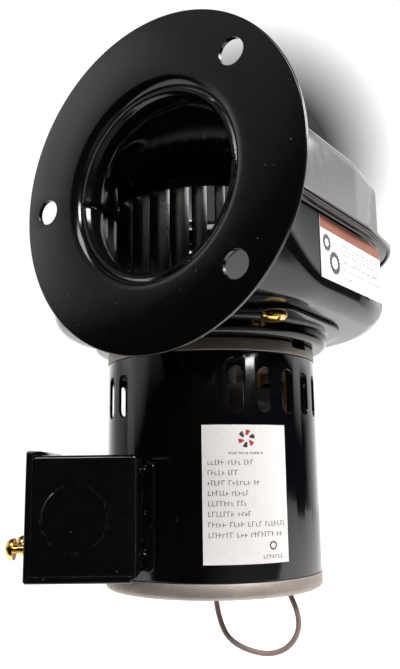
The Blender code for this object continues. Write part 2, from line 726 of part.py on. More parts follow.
def build_rotor():
    """The shaft and what turns with it inside the motor."""
    bore = SHAFT_R + 0.1
    profile = [
        (0, SHAFT_TOP), (SHAFT_R - 0.5, SHAFT_TOP), (SHAFT_R, SHAFT_TOP - 0.5),
        (SHAFT_R, SHAFT_BOTTOM + 0.5), (SHAFT_R - 0.5, SHAFT_BOTTOM), (0, SHAFT_BOTTOM),
    ]
    turned("shaft", profile, "steel", steps=16, ring=False)
    rings = (
        ("rotor_core", ROTOR_R, bore, STACK_BOTTOM, STACK_TOP, "steel"),
        ("upper_end_ring", 19.4, 12.0, STACK_TOP + GAP, STACK_TOP + 3.0, "cast_aluminium"),
        ("lower_end_ring", 19.4, 12.0, STACK_BOTTOM - 3.0, STACK_BOTTOM - GAP, "cast_aluminium"),
        ("upper_thrust_washer", 6.5, bore, -52.5, -51.4, "bronze"),
        ("lower_thrust_washer", 6.5, bore, -114.7, -113.6, "bronze"),
        ("wheel_hub", 8.4, bore, WHEEL_BOTTOM + 1.0 + GAP, -14.0, "cast_aluminium"),
    )
    for name, outer, inner, low, high, finish_name in rings:
        turned(name, [(outer, high), (outer, low), (inner, low), (inner, high)], finish_name, steps=16)
    collar = [(7.2, -54.0), (7.2, -66.0), (bore, -66.0), (bore, -54.0)]
    fan = turned("cooling_fan", collar, "cast_aluminium", steps=16)
    shape = bmesh.new()
    vanes = 8
    for i in range(vanes):
        box_into(shape, (-0.5, -65.6, 6.4), (0.5, -54.4, 33.0), radial(360 / vanes * i + 12))
    boolean(fan, from_bmesh("join_vanes", shape), "UNION")
    disc = turned("join_fan_disc", [(24.0, -60.2), (24.0, -61.2), (6.0, -61.2), (6.0, -60.2)], steps=16)
    boolean(fan, disc, "UNION")
    hub = bpy.data.objects["wheel_hub"]
    shape = bmesh.new()
    rod_into(shape, (0, 0, 2), (0, 0, 12), 2.2, 16)
    boolean(hub, from_bmesh("cut_hub", shape, None, radial(SET_SCREW_DIRECTION, -19.0)))
    shape = bmesh.new()
    rod_into(shape, (0, 0, SHAFT_R + GAP), (0, 0, 9.2), 1.9, 16)
    screw = from_bmesh("set_screw", shape, "steel", radial(SET_SCREW_DIRECTION, -19.0))
    shape = bmesh.new()
    rod_into(shape, (0, 0, 7.4), (0, 0, 10.2), 1.0, 6)
    boolean(screw, from_bmesh("cut_set_screw", shape, None, radial(SET_SCREW_DIRECTION, -19.0)))


def blade_outline(direction):
    """One forward curved blade's plan. Its tip leads as the wheel turns."""
    sides = ([], [])
    root = WHEEL_R - 0.4 - BLADE_DEPTH
    for i in range(3):
        share = i / 2
        radius = root + BLADE_DEPTH * share
        for side, half in zip(sides, (0.3, -0.3)):
            angle = radians(direction - 6.5 * share**2) + half / radius
            side.append((radius * cos(angle), radius * sin(angle)))
    return sides[0] + sides[1][::-1]


def build_wheel():
    """The squirrel cage blower wheel: back plate, blades and top rim."""
    wheel = turned(
        "blower_wheel",
        [(WHEEL_R, WHEEL_BOTTOM + 1.8), (WHEEL_R, WHEEL_BOTTOM),
         (4.6, WHEEL_BOTTOM), (4.6, WHEEL_BOTTOM + 1.0),
         (WHEEL_R - 1.0, WHEEL_BOTTOM + 1.0), (WHEEL_R - 1.0, WHEEL_BOTTOM + 1.8)],
        "galvanised",
    )
    shape = bmesh.new()
    for i in range(BLADES):
        outline = blade_outline(360 / BLADES * i)
        prism_into(shape, outline, WHEEL_BOTTOM + 0.5, WHEEL_TOP - 1.5, Matrix.Translation(AXIS))
    boolean(wheel, from_bmesh("join_blades", shape), "UNION")
    rim = turned(
        "join_rim",
        [(WHEEL_R, WHEEL_TOP), (WHEEL_R, WHEEL_TOP - 4.2), (WHEEL_R - 1.0, WHEEL_TOP - 4.2),
         (WHEEL_R - 1.0, WHEEL_TOP - 1.0), (WHEEL_R - 5.5, WHEEL_TOP - 1.0), (WHEEL_R - 5.5, WHEEL_TOP)],
    )
    boolean(wheel, rim, "UNION")


# ---------------------------------------------------------------- junction box


def build_box():
    """The junction box with its knockout and the tab welded to the shell."""
    sheet, frame = BOX_SHEET, BOX_FRAME
    low, high = (BOX_LEFT, BOX_FRONT, BOX_BOTTOM), (BOX_RIGHT, BOX_BACK, BOX_TOP)
    body = box("junction_box", low, high, "gloss_black", frame)
    low = (BOX_LEFT - 5, BOX_FRONT + sheet, BOX_BOTTOM - 5)
    high = (BOX_RIGHT - sheet, BOX_BACK - sheet, BOX_TOP - sheet)
    boolean(body, box("cut_box_inside", low, high, None, frame))
    tab = sector(SHELL_R + GAP, SHELL_R + GAP + sheet, -126.6, -119.6)
    boolean(body, prism("join_tab", tab, -121.4, -83.2, None, frame), "UNION")
    ear = ((BOX_LEFT, BOX_FRONT + 0.4, -116.0), (BOX_LEFT + sheet, -33.0, -107.0))
    boolean(body, box("join_ear", *ear, None, frame), "UNION")
    boolean(body, round_cutter("cut_box_shell", [AXIS], SHELL_R + GAP, -130, -70, 60))
    shape = bmesh.new()
    x, z = KNOCKOUT
    facing = frame @ Matrix.Translation((x, 0, z)) @ Matrix.Rotation(radians(90), 4, "X")
    ties = ((-68.0, 232.0), (247.0, 277.0))
    for start, end in ties:
        ring = sector(KNOCKOUT_R - 0.3, KNOCKOUT_R, start, end, 30 if end > 280 or start < 0 else 5)
        prism_into(shape, ring, -BOX_FRONT - 3, -BOX_FRONT + 2, facing)
    boolean(body, from_bmesh("cut_knockout", shape))
    shape = bmesh.new()
    for y, height in SCREW_PLACES:
        rod_into(shape, (BOX_LEFT - 2, y, height), (BOX_LEFT + 3, y, height), 1.7, 12)
    boolean(body, from_bmesh("cut_ear_holes", shape, None, frame))


def build_cover():
    """The L shaped cover: the box's left side and bottom, with lips."""
    sheet, frame = BOX_SHEET, BOX_FRAME
    left, bottom = BOX_LEFT - GAP - sheet, BOX_BOTTOM - GAP - sheet
    top, front = BOX_TOP + GAP + sheet, BOX_FRONT - GAP - sheet
    low, high = (left, front, bottom), (BOX_RIGHT - 1.2, BOX_BACK, top)
    cover = box("junction_cover", low, high, "gloss_black", frame)
    inner = (BOX_LEFT - GAP, BOX_FRONT - GAP, BOX_BOTTOM - GAP)
    boolean(cover, box("cut_cover_inside", inner, (0, 0, BOX_TOP + GAP), None, frame))
    opening = (left + COVER_LIP, front - 5, bottom + COVER_LIP)
    boolean(cover, box("cut_cover_front", opening, (0, BOX_FRONT + 2, top + 5), None, frame))
    lid = (left + COVER_LIP + 1.6, front - 5, BOX_TOP - 1)
    boolean(cover, box("cut_cover_top", lid, (0, 0, top + 5), None, frame))
    boolean(cover, round_cutter("cut_cover_shell", [AXIS], SHELL_R + GAP, -130, -70, 60))
    shape = bmesh.new()
    for y, height in SCREW_PLACES:
        rod_into(shape, (left - 3, y, height), (left + 3, y, height), 1.9, 12)
    boolean(cover, from_bmesh("cut_cover_holes", shape, None, frame))
    direction = frame.to_3x3() @ Vector((1, 0, 0))
    for name, (y, height) in zip(("front", "rear"), SCREW_PLACES):
        seat = frame @ Vector((left - 4.6, y, height))
        pan_screw(f"cover_screw_{name}", seat, direction, (3.6, 2.7), (1.4, 9.5), "brass")


def build_leads():
    """The grommet, the two supply leads in the box and the free lead below."""
    face = radial(GROMMET_DIRECTION, GROMMET_HEIGHT)
    seat = face @ Matrix.Translation((0, 0, SHELL_R))
    profile = [
        (GROMMET_R + 1.0, 1.8), (GROMMET_R + 1.0, 0.4), (GROMMET_R, 0.4), (GROMMET_R, -1.8),
        (2.6, -1.8), (2.6, 1.8),
    ]
    turned("lead_grommet", profile, "rubber", seat, steps=12)
    across = ((1.2, "white_sleeve", 1), (-1.2, "rubber", 2))
    for offset, finish_name, i in across:
        route = [
            (offset, -1.0, 36.0), (offset, 0.0, 42.0), (offset, 0.4, 46.0),
            (offset * 1.8, 2.0, 51.0), (offset * 3.0, 4.5, 55.0), (offset * 5.0, 7.0, 57.0),
        ]
        tube(f"supply_lead_{i}", smooth_route(route, 3.0), 0.9, finish_name, face)
    tube("lead_loop", smooth_route(LEAD_ROUTE, 3.0), LEAD_R, "lead_sleeve", BOX_FRAME)


# ---------------------------------------------------------------- labels


def build_labels():
    """The rating plate on the shell and the caution label on the scroll."""
    label = sector(SHELL_R + 0.12, SHELL_R + 0.32, -94.9, -51.5, 10)
    prism("rating_label", label, -118.4, -70.9, "paper", BOX_FRAME)
    wall = STRAIGHT_WALL_X
    box("caution_label", (wall + 0.12, 51.0, -24.6), (wall + 0.32, 101.5, -2.8), "paper")


clear_scene()
PARTS = new_collection("combustion_fan")
CUTTERS = new_collection("cutters", hidden=True)
BOX_FRAME = Matrix.Translation(AXIS) @ Matrix.Rotation(radians(BOX_TURN), 4, "Z")
build_scroll()
build_flange()
build_adapter()
build_fasteners()
build_shell()
build_bells()
build_stator()
build_rotor()
build_wheel()
build_box()
build_cover()
build_leads()
build_labels()
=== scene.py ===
"""Looks of a combustion fan: a shaded pole motor hanging under a stamped scroll blower.

Every size is in millimetres in the part's own frame, whose origin is the centre of
the outlet flange's front face. Air leaves along -Y and the shaft points up.
"""

from __future__ import annotations

import logging
import random
from dataclasses import dataclass
from enum import Enum
from math import acos, cos, degrees, pi, radians, sin
from typing import Callable, ClassVar, Sequence

import bmesh
import bpy
from mathutils import Matrix, Vector

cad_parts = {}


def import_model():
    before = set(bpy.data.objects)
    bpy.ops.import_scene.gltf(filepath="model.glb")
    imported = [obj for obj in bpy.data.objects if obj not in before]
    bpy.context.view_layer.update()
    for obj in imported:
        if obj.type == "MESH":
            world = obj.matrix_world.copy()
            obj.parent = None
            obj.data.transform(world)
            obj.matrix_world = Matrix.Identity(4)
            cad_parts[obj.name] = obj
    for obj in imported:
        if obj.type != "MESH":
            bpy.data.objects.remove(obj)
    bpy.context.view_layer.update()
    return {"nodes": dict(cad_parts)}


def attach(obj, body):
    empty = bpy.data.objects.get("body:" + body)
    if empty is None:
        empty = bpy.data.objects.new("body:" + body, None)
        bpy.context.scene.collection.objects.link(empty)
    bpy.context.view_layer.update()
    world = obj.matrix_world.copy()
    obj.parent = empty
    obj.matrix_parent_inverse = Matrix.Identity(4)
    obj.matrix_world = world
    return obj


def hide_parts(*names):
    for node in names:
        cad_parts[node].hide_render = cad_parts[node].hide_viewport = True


LOG = logging.getLogger("combustion_fan")
MM = 0.001
GAP = 0.3
SHEET = 1.0
SHAFT = Vector((-37.6, 85.2, 0.0))
SHAFT_PLACE = Matrix.Translation(SHAFT)
BOX_PLACE = SHAFT_PLACE @ Matrix.Rotation(radians(35.0), 4, "Z")
BOLT_DIRECTIONS = (-1.5, 88.5, 178.5, 268.5)
BOLT_R = 36.6
SHELL_R = 42.0
BELL_R = 42.2
EAR_DIRECTIONS = (-31.0, 149.0)
SCREW_R = 55.2
HALF_HEIGHT = 31.4
PLATE_TOP = -HALF_HEIGHT - GAP
LABEL_WALL_X = 31.4

Point = Sequence[float]
Outline = Sequence[tuple[float, float]]


class Body(Enum):
    """The two bodies of the fan."""

    FRAME = "frame"
    ROTOR = "rotor"


class Cut(Enum):
    """What a second shape does to the first."""

    AWAY = "DIFFERENCE"
    JOINED = "UNION"


# ------------------------------------------------------------------ materials


class Wiring:
    """Adds nodes to one tree and joins them."""

    def __init__(self, tree: bpy.types.NodeTree) -> None:
        """Keeps the tree that the nodes go into."""
        self.tree = tree

    def feed(self, socket: bpy.types.NodeSocket, value: object) -> None:
        """Links a socket to another, or sets its value."""
        if isinstance(value, bpy.types.NodeSocket):
            self.tree.links.new(value, socket)
        else:
            socket.default_value = value

    def add(self, kind: str, values: dict | None = None, **settings: object) -> bpy.types.Node:
        """Adds a node.

        Args:
            kind: The node's type.
            values: What feeds each input, by name or index.
            settings: The node's own options.

        Returns:
            The new node.
        """
        node = self.tree.nodes.new(kind)
        for option, value in settings.items():
            setattr(node, option, value)
        for key, value in (values or {}).items():
            self.feed(node.inputs[key], value)
        return node

    def spot(self) -> bpy.types.NodeSocket:
        """The surface point in the object's own metres."""
        return self.add("ShaderNodeTexCoord").outputs["Object"]

    def noise(self, scale: object, detail: float = 3.0, stretch: Point | None = None) -> bpy.types.NodeSocket:
        """Noise over the surface.

        Args:
            scale: Grains per metre.
            detail: How many octaves it has.
            stretch: Factors along X, Y and Z, where the grain has a direction.

        Returns:
            The noise's value, about 0.5.
        """
        spot = self.spot()
        if stretch:
            spot = self.add("ShaderNodeMapping", {"Vector": spot, "Scale": stretch}).outputs[0]
        return self.add("ShaderNodeTexNoise", {"Vector": spot, "Scale": scale, "Detail": detail}).outputs[0]

    def sum(self, kind: str, one: object, other: object) -> bpy.types.NodeSocket:
        """A Math node's value."""
        return self.add("ShaderNodeMath", {0: one, 1: other}, operation=kind).outputs[0]

    def towards(self, direction: bpy.types.NodeSocket, other: Point) -> bpy.types.NodeSocket:
        """The cosine of the angle between two directions of length one."""
        inputs = {0: direction, 1: other}
        return self.add("ShaderNodeVectorMath", inputs, operation="DOT_PRODUCT").outputs["Value"]

    def span(
        self, value: object, low: object, high: object, to_low: object, to_high: object
    ) -> bpy.types.NodeSocket:
        """Maps a value from one range to another, and clamps it."""
        ranges = {"Value": value, "From Min": low, "From Max": high, "To Min": to_low, "To Max": to_high}
        return self.add("ShaderNodeMapRange", ranges).outputs[0]

    def blend(self, share: object, one: object, other: object) -> bpy.types.NodeSocket:
        """A mix of two colours."""
        return self.add("ShaderNodeMix", {0: share, 6: one, 7: other}, data_type="RGBA").outputs[2]

    def bump(self, height: object, strength: float, depth: float) -> bpy.types.NodeSocket:
        """The normal that this height gives, with the depth in metres."""
        inputs = {"Height": height, "Strength": strength, "Distance": depth}
        return self.add("ShaderNodeBump", inputs).outputs[0]


def shared_effect(
    name: str, inputs: dict[str, float], outputs: Sequence[str], wire: Callable[[Wiring, dict, dict], None]
) -> bpy.types.NodeTree:
    """Builds a shader node group once.

    Args:
        name: The group's name.
        inputs: Each float input with its value.
        outputs: The names of its float outputs.
        wire: Adds the nodes between the two.

    Returns:
        The group's tree.
    """
    tree = bpy.data.node_groups.get(name)
    if tree:
        return tree
    tree = bpy.data.node_groups.new(name, "ShaderNodeTree")
    for label, value in inputs.items():
        tree.interface.new_socket(label, in_out="INPUT", socket_type="NodeSocketFloat").default_value = value
    for label in outputs:
        tree.interface.new_socket(label, in_out="OUTPUT", socket_type="NodeSocketFloat")
    wiring = Wiring(tree)
    start, end = wiring.add("NodeGroupInput"), wiring.add("NodeGroupOutput")
    wire(wiring, start.outputs, end.inputs)
    return tree


def wire_wear(wiring: Wiring, given: dict, out: dict) -> None:
    """A mask along outer edges, broken up by noise."""
    rounded = wiring.add("ShaderNodeBevel", {"Radius": given["Radius"]}, samples=4).outputs[0]
    facing = wiring.add("ShaderNodeNewGeometry").outputs["Normal"]
    edge = wiring.span(wiring.towards(rounded, facing), 0.72, 0.98, 1.0, 0.0)
    broken = wiring.span(wiring.noise(given["Scale"]), 0.45, 0.62, 0.0, 1.0)
    wiring.feed(out["Mask"], wiring.sum("MULTIPLY", wiring.sum("MULTIPLY", edge, broken), given["Amount"]))


def wire_grain(wiring: Wiring, given: dict, out: dict) -> None:
    """Fine grain as a value between two levels, and as a height."""
    grain = wiring.noise(given["Scale"], 4.0)
    wiring.feed(out["Value"], wiring.span(grain, 0.3, 0.7, given["Low"], given["High"]))
    wiring.feed(out["Height"], grain)


def wire_dust(wiring: Wiring, given: dict, out: dict) -> None:
    """Sparse specks scattered over the surface."""
    cells = wiring.add("ShaderNodeTexVoronoi", {"Vector": wiring.spot(), "Scale": given["Scale"]})
    speck = wiring.span(cells.outputs["Distance"], 0.05, 0.09, 1.0, 0.0)
    chosen = wiring.span(cells.outputs["Color"], 0.80, 0.82, 0.0, 1.0)
    wiring.feed(out["Mask"], wiring.sum("MULTIPLY", wiring.sum("MULTIPLY", speck, chosen), given["Amount"]))


@dataclass(frozen=True)
class Finish:
    """A finish of one of the record's material slots."""

    slot: str
    colour: tuple[float, float, float]
    roughness: float
    metallic: float = 0.0

    def material(self) -> bpy.types.Material:
        """The finish's material, made on first use."""
        name = f"{self.slot}_finish"
        found = bpy.data.materials.get(name)
        if found:
            return found
        found = bpy.data.materials.new(name)
        found.use_nodes = True
        wiring = Wiring(found.node_tree)
        shader = found.node_tree.nodes["Principled BSDF"]
        shader.inputs["Metallic"].default_value = self.metallic
        wiring.feed(shader.inputs["Roughness"], self.roughness)
        wiring.feed(shader.inputs["Base Color"], self.shade(1.0))
        self.wire(wiring, shader.inputs)
        return found

    def shade(self, times: float) -> tuple[float, float, float, float]:
        """The finish's colour, made lighter or darker."""
        red, green, blue = (min(part * times, 1.0) for part in self.colour)
        return (red, green, blue, 1.0)

    def wear(self, wiring: Wiring, radius: float, amount: float) -> bpy.types.NodeSocket:
        """The shared edge wear's mask."""
        defaults = {"Radius": 0.0005, "Amount": 1.0, "Scale": 900.0}
        tree = shared_effect("edge_wear", defaults, ("Mask",), wire_wear)
        return self._given(wiring, tree, {"Radius": radius, "Amount": amount, "Scale": 900.0}).outputs["Mask"]

    def _given(self, wiring: Wiring, tree: bpy.types.NodeTree, values: dict) -> bpy.types.Node:
        """A shared effect that is given these values."""
        node = wiring.add("ShaderNodeGroup", node_tree=tree)
        for name, value in values.items():
            wiring.feed(node.inputs[name], value)
        return node

    def grain(self, wiring: Wiring, scale: float, low: float, high: float) -> bpy.types.Node:
        """The shared grain, with a Value and a Height."""
        defaults = {"Scale": 1000.0, "Low": 0.2, "High": 0.4}
        tree = shared_effect("fine_grain", defaults, ("Value", "Height"), wire_grain)
        return self._given(wiring, tree, {"Scale": scale, "Low": low, "High": high})

    def dust(self, wiring: Wiring, scale: float, amount: float) -> bpy.types.NodeSocket:
        """The shared dust's mask."""
        tree = shared_effect("settled_dust", {"Scale": 400.0, "Amount": 1.0}, ("Mask",), wire_dust)
        return self._given(wiring, tree, {"Scale": scale, "Amount": amount}).outputs["Mask"]

    def wire(self, wiring: Wiring, sockets: dict) -> None:
        """Adds the finish's own detail to the shader's inputs."""
        raise NotImplementedError


@dataclass(frozen=True)
class Enamel(Finish):
    """Sprayed gloss black over pressed steel, with a faint orange peel."""

    peel: float = 0.05

    def wire(self, wiring: Wiring, sockets: dict) -> None:
        """Orange peel, dust and rubbed edges."""
        grain = self.grain(wiring, 260.0, self.roughness * 0.85, self.roughness * 1.2)
        worn = self.wear(wiring, 0.0005, 0.35)
        dust = self.dust(wiring, 330.0, 0.22)
        body = wiring.blend(grain.outputs["Height"], self.shade(0.8), self.shade(1.25))
        body = wiring.blend(worn, body, (0.16, 0.16, 0.165, 1.0))
        wiring.feed(sockets["Base Color"], wiring.blend(dust, body, (0.45, 0.44, 0.42, 1.0)))
        dull = wiring.sum("MULTIPLY", dust, 2.0)
        wiring.feed(sockets["Roughness"], wiring.sum("ADD", grain.outputs["Value"], dull))
        wiring.feed(sockets["Normal"], wiring.bump(wiring.noise(620.0, 2.0), self.peel, 0.0004))


@dataclass(frozen=True)
class CastMetal(Finish):
    """Die cast alloy with a fine grey grain and darker patches."""

    def wire(self, wiring: Wiring, sockets: dict) -> None:
        """Speckle, faint upright drag lines and uneven sheen."""
        patches = wiring.noise(60.0, 4.0)
        speckle = self.grain(wiring, 2600.0, self.roughness - 0.1, self.roughness + 0.12)
        drag = wiring.noise(500.0, 3.0, (4.0, 4.0, 0.35))
        body = wiring.blend(wiring.span(patches, 0.35, 0.65, 0.0, 1.0), self.shade(0.82), self.shade(1.12))
        specks = wiring.span(speckle.outputs["Height"], 0.35, 0.6, 0.55, 0.0)
        body = wiring.blend(specks, body, self.shade(0.55))
        wiring.feed(sockets["Base Color"], body)
        wiring.feed(sockets["Roughness"], speckle.outputs["Value"])
        rough = wiring.sum("ADD", speckle.outputs["Height"], wiring.sum("MULTIPLY", drag, 0.6))
        wiring.feed(sockets["Normal"], wiring.bump(rough, 0.45, 0.00012))


@dataclass(frozen=True)
class Plating(Finish):
    """Bright plating whose hue drifts a little over the surface."""

    drift: tuple[float, float, float] = (0.5, 0.5, 0.5)
    hue_scale: float = 300.0

    def wire(self, wiring: Wiring, sockets: dict) -> None:
        """Drifting hue, micro scratches and bare edges."""
        hue = wiring.span(wiring.noise(self.hue_scale, 2.0), 0.38, 0.66, 0.0, 1.0)
        grain = self.grain(wiring, 1500.0, self.roughness * 0.8, self.roughness * 1.35)
        body = wiring.blend(hue, self.shade(1.0), (*self.drift, 1.0))
        body = wiring.blend(self.wear(wiring, 0.0003, 0.5), body, (0.8, 0.79, 0.76, 1.0))
        wiring.feed(sockets["Base Color"], body)
        wiring.feed(sockets["Roughness"], grain.outputs["Value"])
        wiring.feed(sockets["Normal"], wiring.bump(wiring.noise(1800.0, 2.0), 0.12, 0.00006))


@dataclass(frozen=True)
class Galvanised(Finish):
    """Zinc coated sheet with its flat crystals."""

    def wire(self, wiring: Wiring, sockets: dict) -> None:
        """Crystal flakes of differing brightness."""
        flakes = wiring.add("ShaderNodeTexVoronoi", {"Vector": wiring.spot(), "Scale": 210.0})
        shade = wiring.span(flakes.outputs["Color"], 0.0, 1.0, 0.0, 1.0)
        grain = self.grain(wiring, 1800.0, self.roughness - 0.08, self.roughness + 0.12)
        wiring.feed(sockets["Base Color"], wiring.blend(shade, self.shade(0.85), self.shade(1.12)))
        wiring.feed(sockets["Roughness"], grain.outputs["Value"])
        wiring.feed(sockets["Normal"], wiring.bump(grain.outputs["Height"], 0.15, 0.00008))


@dataclass(frozen=True)
class Banded(Finish):
    """Stacked sheets or wound wire, which show as lines along one axis."""

    bands: float = 1000.0
    depth: float = 0.0002

    def wire(self, wiring: Wiring, sockets: dict) -> None:
        """Lines across the height, each a little different."""
        inputs = {"Vector": wiring.spot(), "Scale": self.bands}
        inputs |= {"Distortion": 0.6, "Detail": 2.0, "Detail Scale": 2.0}
        lines = wiring.add("ShaderNodeTexWave", inputs, bands_direction="Z").outputs["Fac"]
        grain = self.grain(wiring, 900.0, self.roughness - 0.1, self.roughness + 0.15)
        wiring.feed(sockets["Base Color"], wiring.blend(lines, self.shade(0.55), self.shade(1.15)))
        wiring.feed(sockets["Roughness"], grain.outputs["Value"])
        wiring.feed(sockets["Normal"], wiring.bump(lines, 0.6, self.depth))


@dataclass(frozen=True)
class Moulded(Finish):
    """Rubber, plastic, sleeve or felt with a fine grain."""

    grain_scale: float = 1600.0
    depth: float = 0.00005
    softness: float = 0.0

    def wire(self, wiring: Wiring, sockets: dict) -> None:
        """Fine grain with slow changes of shade."""
        slow = wiring.span(wiring.noise(120.0, 3.0), 0.35, 0.65, 0.0, 1.0)
        grain = self.grain(wiring, self.grain_scale, self.roughness - 0.08, min(self.roughness + 0.1, 1.0))
        wiring.feed(sockets["Base Color"], wiring.blend(slow, self.shade(0.86), self.shade(1.1)))
        wiring.feed(sockets["Roughness"], grain.outputs["Value"])
        wiring.feed(sockets["Normal"], wiring.bump(grain.outputs["Height"], 0.4, self.depth))
        sockets["Sheen Weight"].default_value = self.softness


@dataclass(frozen=True)
class Printed(Finish):
    """Label stock, or one of the inks on it."""

    def wire(self, wiring: Wiring, sockets: dict) -> None:
        """Paper fibre, and ink that is a little uneven."""
        fibre = wiring.noise(2200.0, 3.0)
        uneven = wiring.blend(wiring.noise(500.0), self.shade(0.92), self.shade(1.04))
        sheen = wiring.span(fibre, 0.3, 0.7, self.roughness - 0.06, self.roughness + 0.08)
        wiring.feed(sockets["Base Color"], uneven)
        wiring.feed(sockets["Roughness"], sheen)
        wiring.feed(sockets["Normal"], wiring.bump(fibre, 0.15, 0.00003))


HOUSING_BLACK = Enamel("housing_black", (0.003, 0.003, 0.0036), 0.14, peel=0.03)
SHELL_BLACK = Enamel("shell_black", (0.0025, 0.0025, 0.0035), 0.11, peel=0.02)
BOX_BLACK = Enamel("box_black", (0.003, 0.003, 0.0036), 0.17, peel=0.04)
BELL_METAL = CastMetal("bell_aluminium", (0.45, 0.39, 0.345), 0.5, 0.5)
FAN_METAL = CastMetal("fan_aluminium", (0.6, 0.6, 0.6), 0.42, 1.0)
YELLOW_ZINC = Plating("yellow_zinc", (0.86, 0.62, 0.18), 0.2, 1.0, drift=(0.72, 0.42, 0.2))
BRIGHT_ZINC = Plating("plated_steel", (0.62, 0.63, 0.64), 0.26, 1.0, drift=(0.52, 0.55, 0.62))
BRONZE = Plating("bronze", (0.52, 0.33, 0.18), 0.42, 1.0, drift=(0.36, 0.22, 0.13))
BARE_COPPER = Plating("bare_copper", (0.72, 0.36, 0.22), 0.3, 1.0, drift=(0.5, 0.22, 0.13))
GALVANISED = Galvanised("wheel_galvanised", (0.3, 0.295, 0.285), 0.33, 1.0)
LAMINATIONS = Banded("lamination_steel", (0.3, 0.3, 0.31), 0.45, 1.0, bands=320.0)
WINDINGS = Banded("enamelled_copper", (0.5, 0.2, 0.1), 0.35, 0.8, bands=420.0, depth=0.0004)
OIL_FELT = Moulded("oil_felt", (0.55, 0.5, 0.42), 0.88, grain_scale=2600.0, depth=0.0004, softness=0.4)
RUBBER = Moulded("black_rubber", (0.02, 0.02, 0.02), 0.62)
PROTECTOR = Moulded("protector_case", (0.65, 0.62, 0.55), 0.45)
WHITE_SLEEVE = Moulded("white_sleeve", (0.8, 0.79, 0.76), 0.4)
BLACK_SLEEVE = Moulded("black_sleeve", (0.02, 0.02, 0.02), 0.4)
LEAD_SLEEVE = Moulded("lead_sleeve", (0.27, 0.19, 0.175), 0.4)
LABEL_PAPER = Printed("label_paper", (0.93, 0.885, 0.87), 0.42)
DARK_INK = Printed("dark_ink", (0.03, 0.028, 0.03), 0.4)
RED_INK = Printed("red_ink", (0.52, 0.03, 0.02), 0.4)
ORANGE_INK = Printed("orange_ink", (0.27, 0.07, 0.03), 0.42)

CARRIED_NODES: dict[Finish, tuple[str, ...]] = {
    BRIGHT_ZINC: (
        "shaft", "set_screw",
        *(f"bolt_nut_{i}" for i in range(1, 5)), *(f"motor_screw_{i}" for i in range(1, 5)),
    ),
    LAMINATIONS: ("stator_core", "rotor_core"),
    WINDINGS: tuple(f"field_coil_{i}" for i in range(1, 5)),
    BARE_COPPER: tuple(f"shading_ring_{i}" for i in range(1, 5)),
    BRONZE: ("upper_bearing", "lower_bearing", "upper_thrust_washer", "lower_thrust_washer"),
    OIL_FELT: ("upper_oil_felt", "lower_oil_felt"),
    BELL_METAL: ("upper_end_ring", "lower_end_ring"),
    FAN_METAL: ("cooling_fan", "wheel_hub"),
    PROTECTOR: ("thermal_protector",),
    RUBBER: ("lead_bushing_1", "lead_bushing_2", "lead_grommet"),
    WHITE_SLEEVE: ("supply_lead_1",),
    BLACK_SLEEVE: ("supply_lead_2",),
}


# ------------------------------------------------------------------ shapes


def smooth(value: float) -> float:
    """Eases from 0 to 1."""
    value = min(max(value, 0.0), 1.0)
    return value * value * (3 - 2 * value)


def arc(centre: Point, radius: float, start: float, end: float, steps: int) -> list[tuple[float, float]]:
    """Points on an arc in degrees, with both ends."""
    turns = [radians(start + (end - start) * i / steps) for i in range(steps + 1)]
    return [(centre[0] + radius * cos(a), centre[1] + radius * sin(a)) for a in turns]


def quarter(steps: int) -> list[float]:
    """Angles from zero to a quarter turn, with both ends."""
    return [i * pi / (2 * steps) for i in range(steps + 1)]


def rounded(half_x: float, half_y: float, radius: float, steps: int) -> list[tuple[float, float]]:
    """Outline of a rectangle with round corners, about the origin."""
    outline: list[tuple[float, float]] = []
    for turn, (sx, sy) in zip((0, 90, 180, 270), ((1, 1), (-1, 1), (-1, -1), (1, -1))):
        outline += arc((sx * (half_x - radius), sy * (half_y - radius)), radius, turn, turn + 90, steps)
    return outline


def sector(inner: float, outer: float, start: float, end: float, steps: int) -> list[tuple[float, float]]:
    """Outline of part of a ring, about the origin."""
    return arc((0, 0), outer, start, end, steps) + arc((0, 0), inner, end, start, steps)


def around(direction: float, radius: float, height: float = 0.0) -> Vector:
    """The point at this direction and distance from the shaft."""
    return SHAFT + Vector((radius * cos(radians(direction)), radius * sin(radians(direction)), height))


def radial(direction: float, height: float = 0.0) -> Matrix:
    """A frame at the shaft whose Z runs outward and whose Y runs up."""
    turn = Matrix.Rotation(radians(direction + 90), 4, "Z") @ Matrix.Rotation(radians(90), 4, "X")
    return Matrix.Translation(SHAFT + Vector((0, 0, height))) @ turn


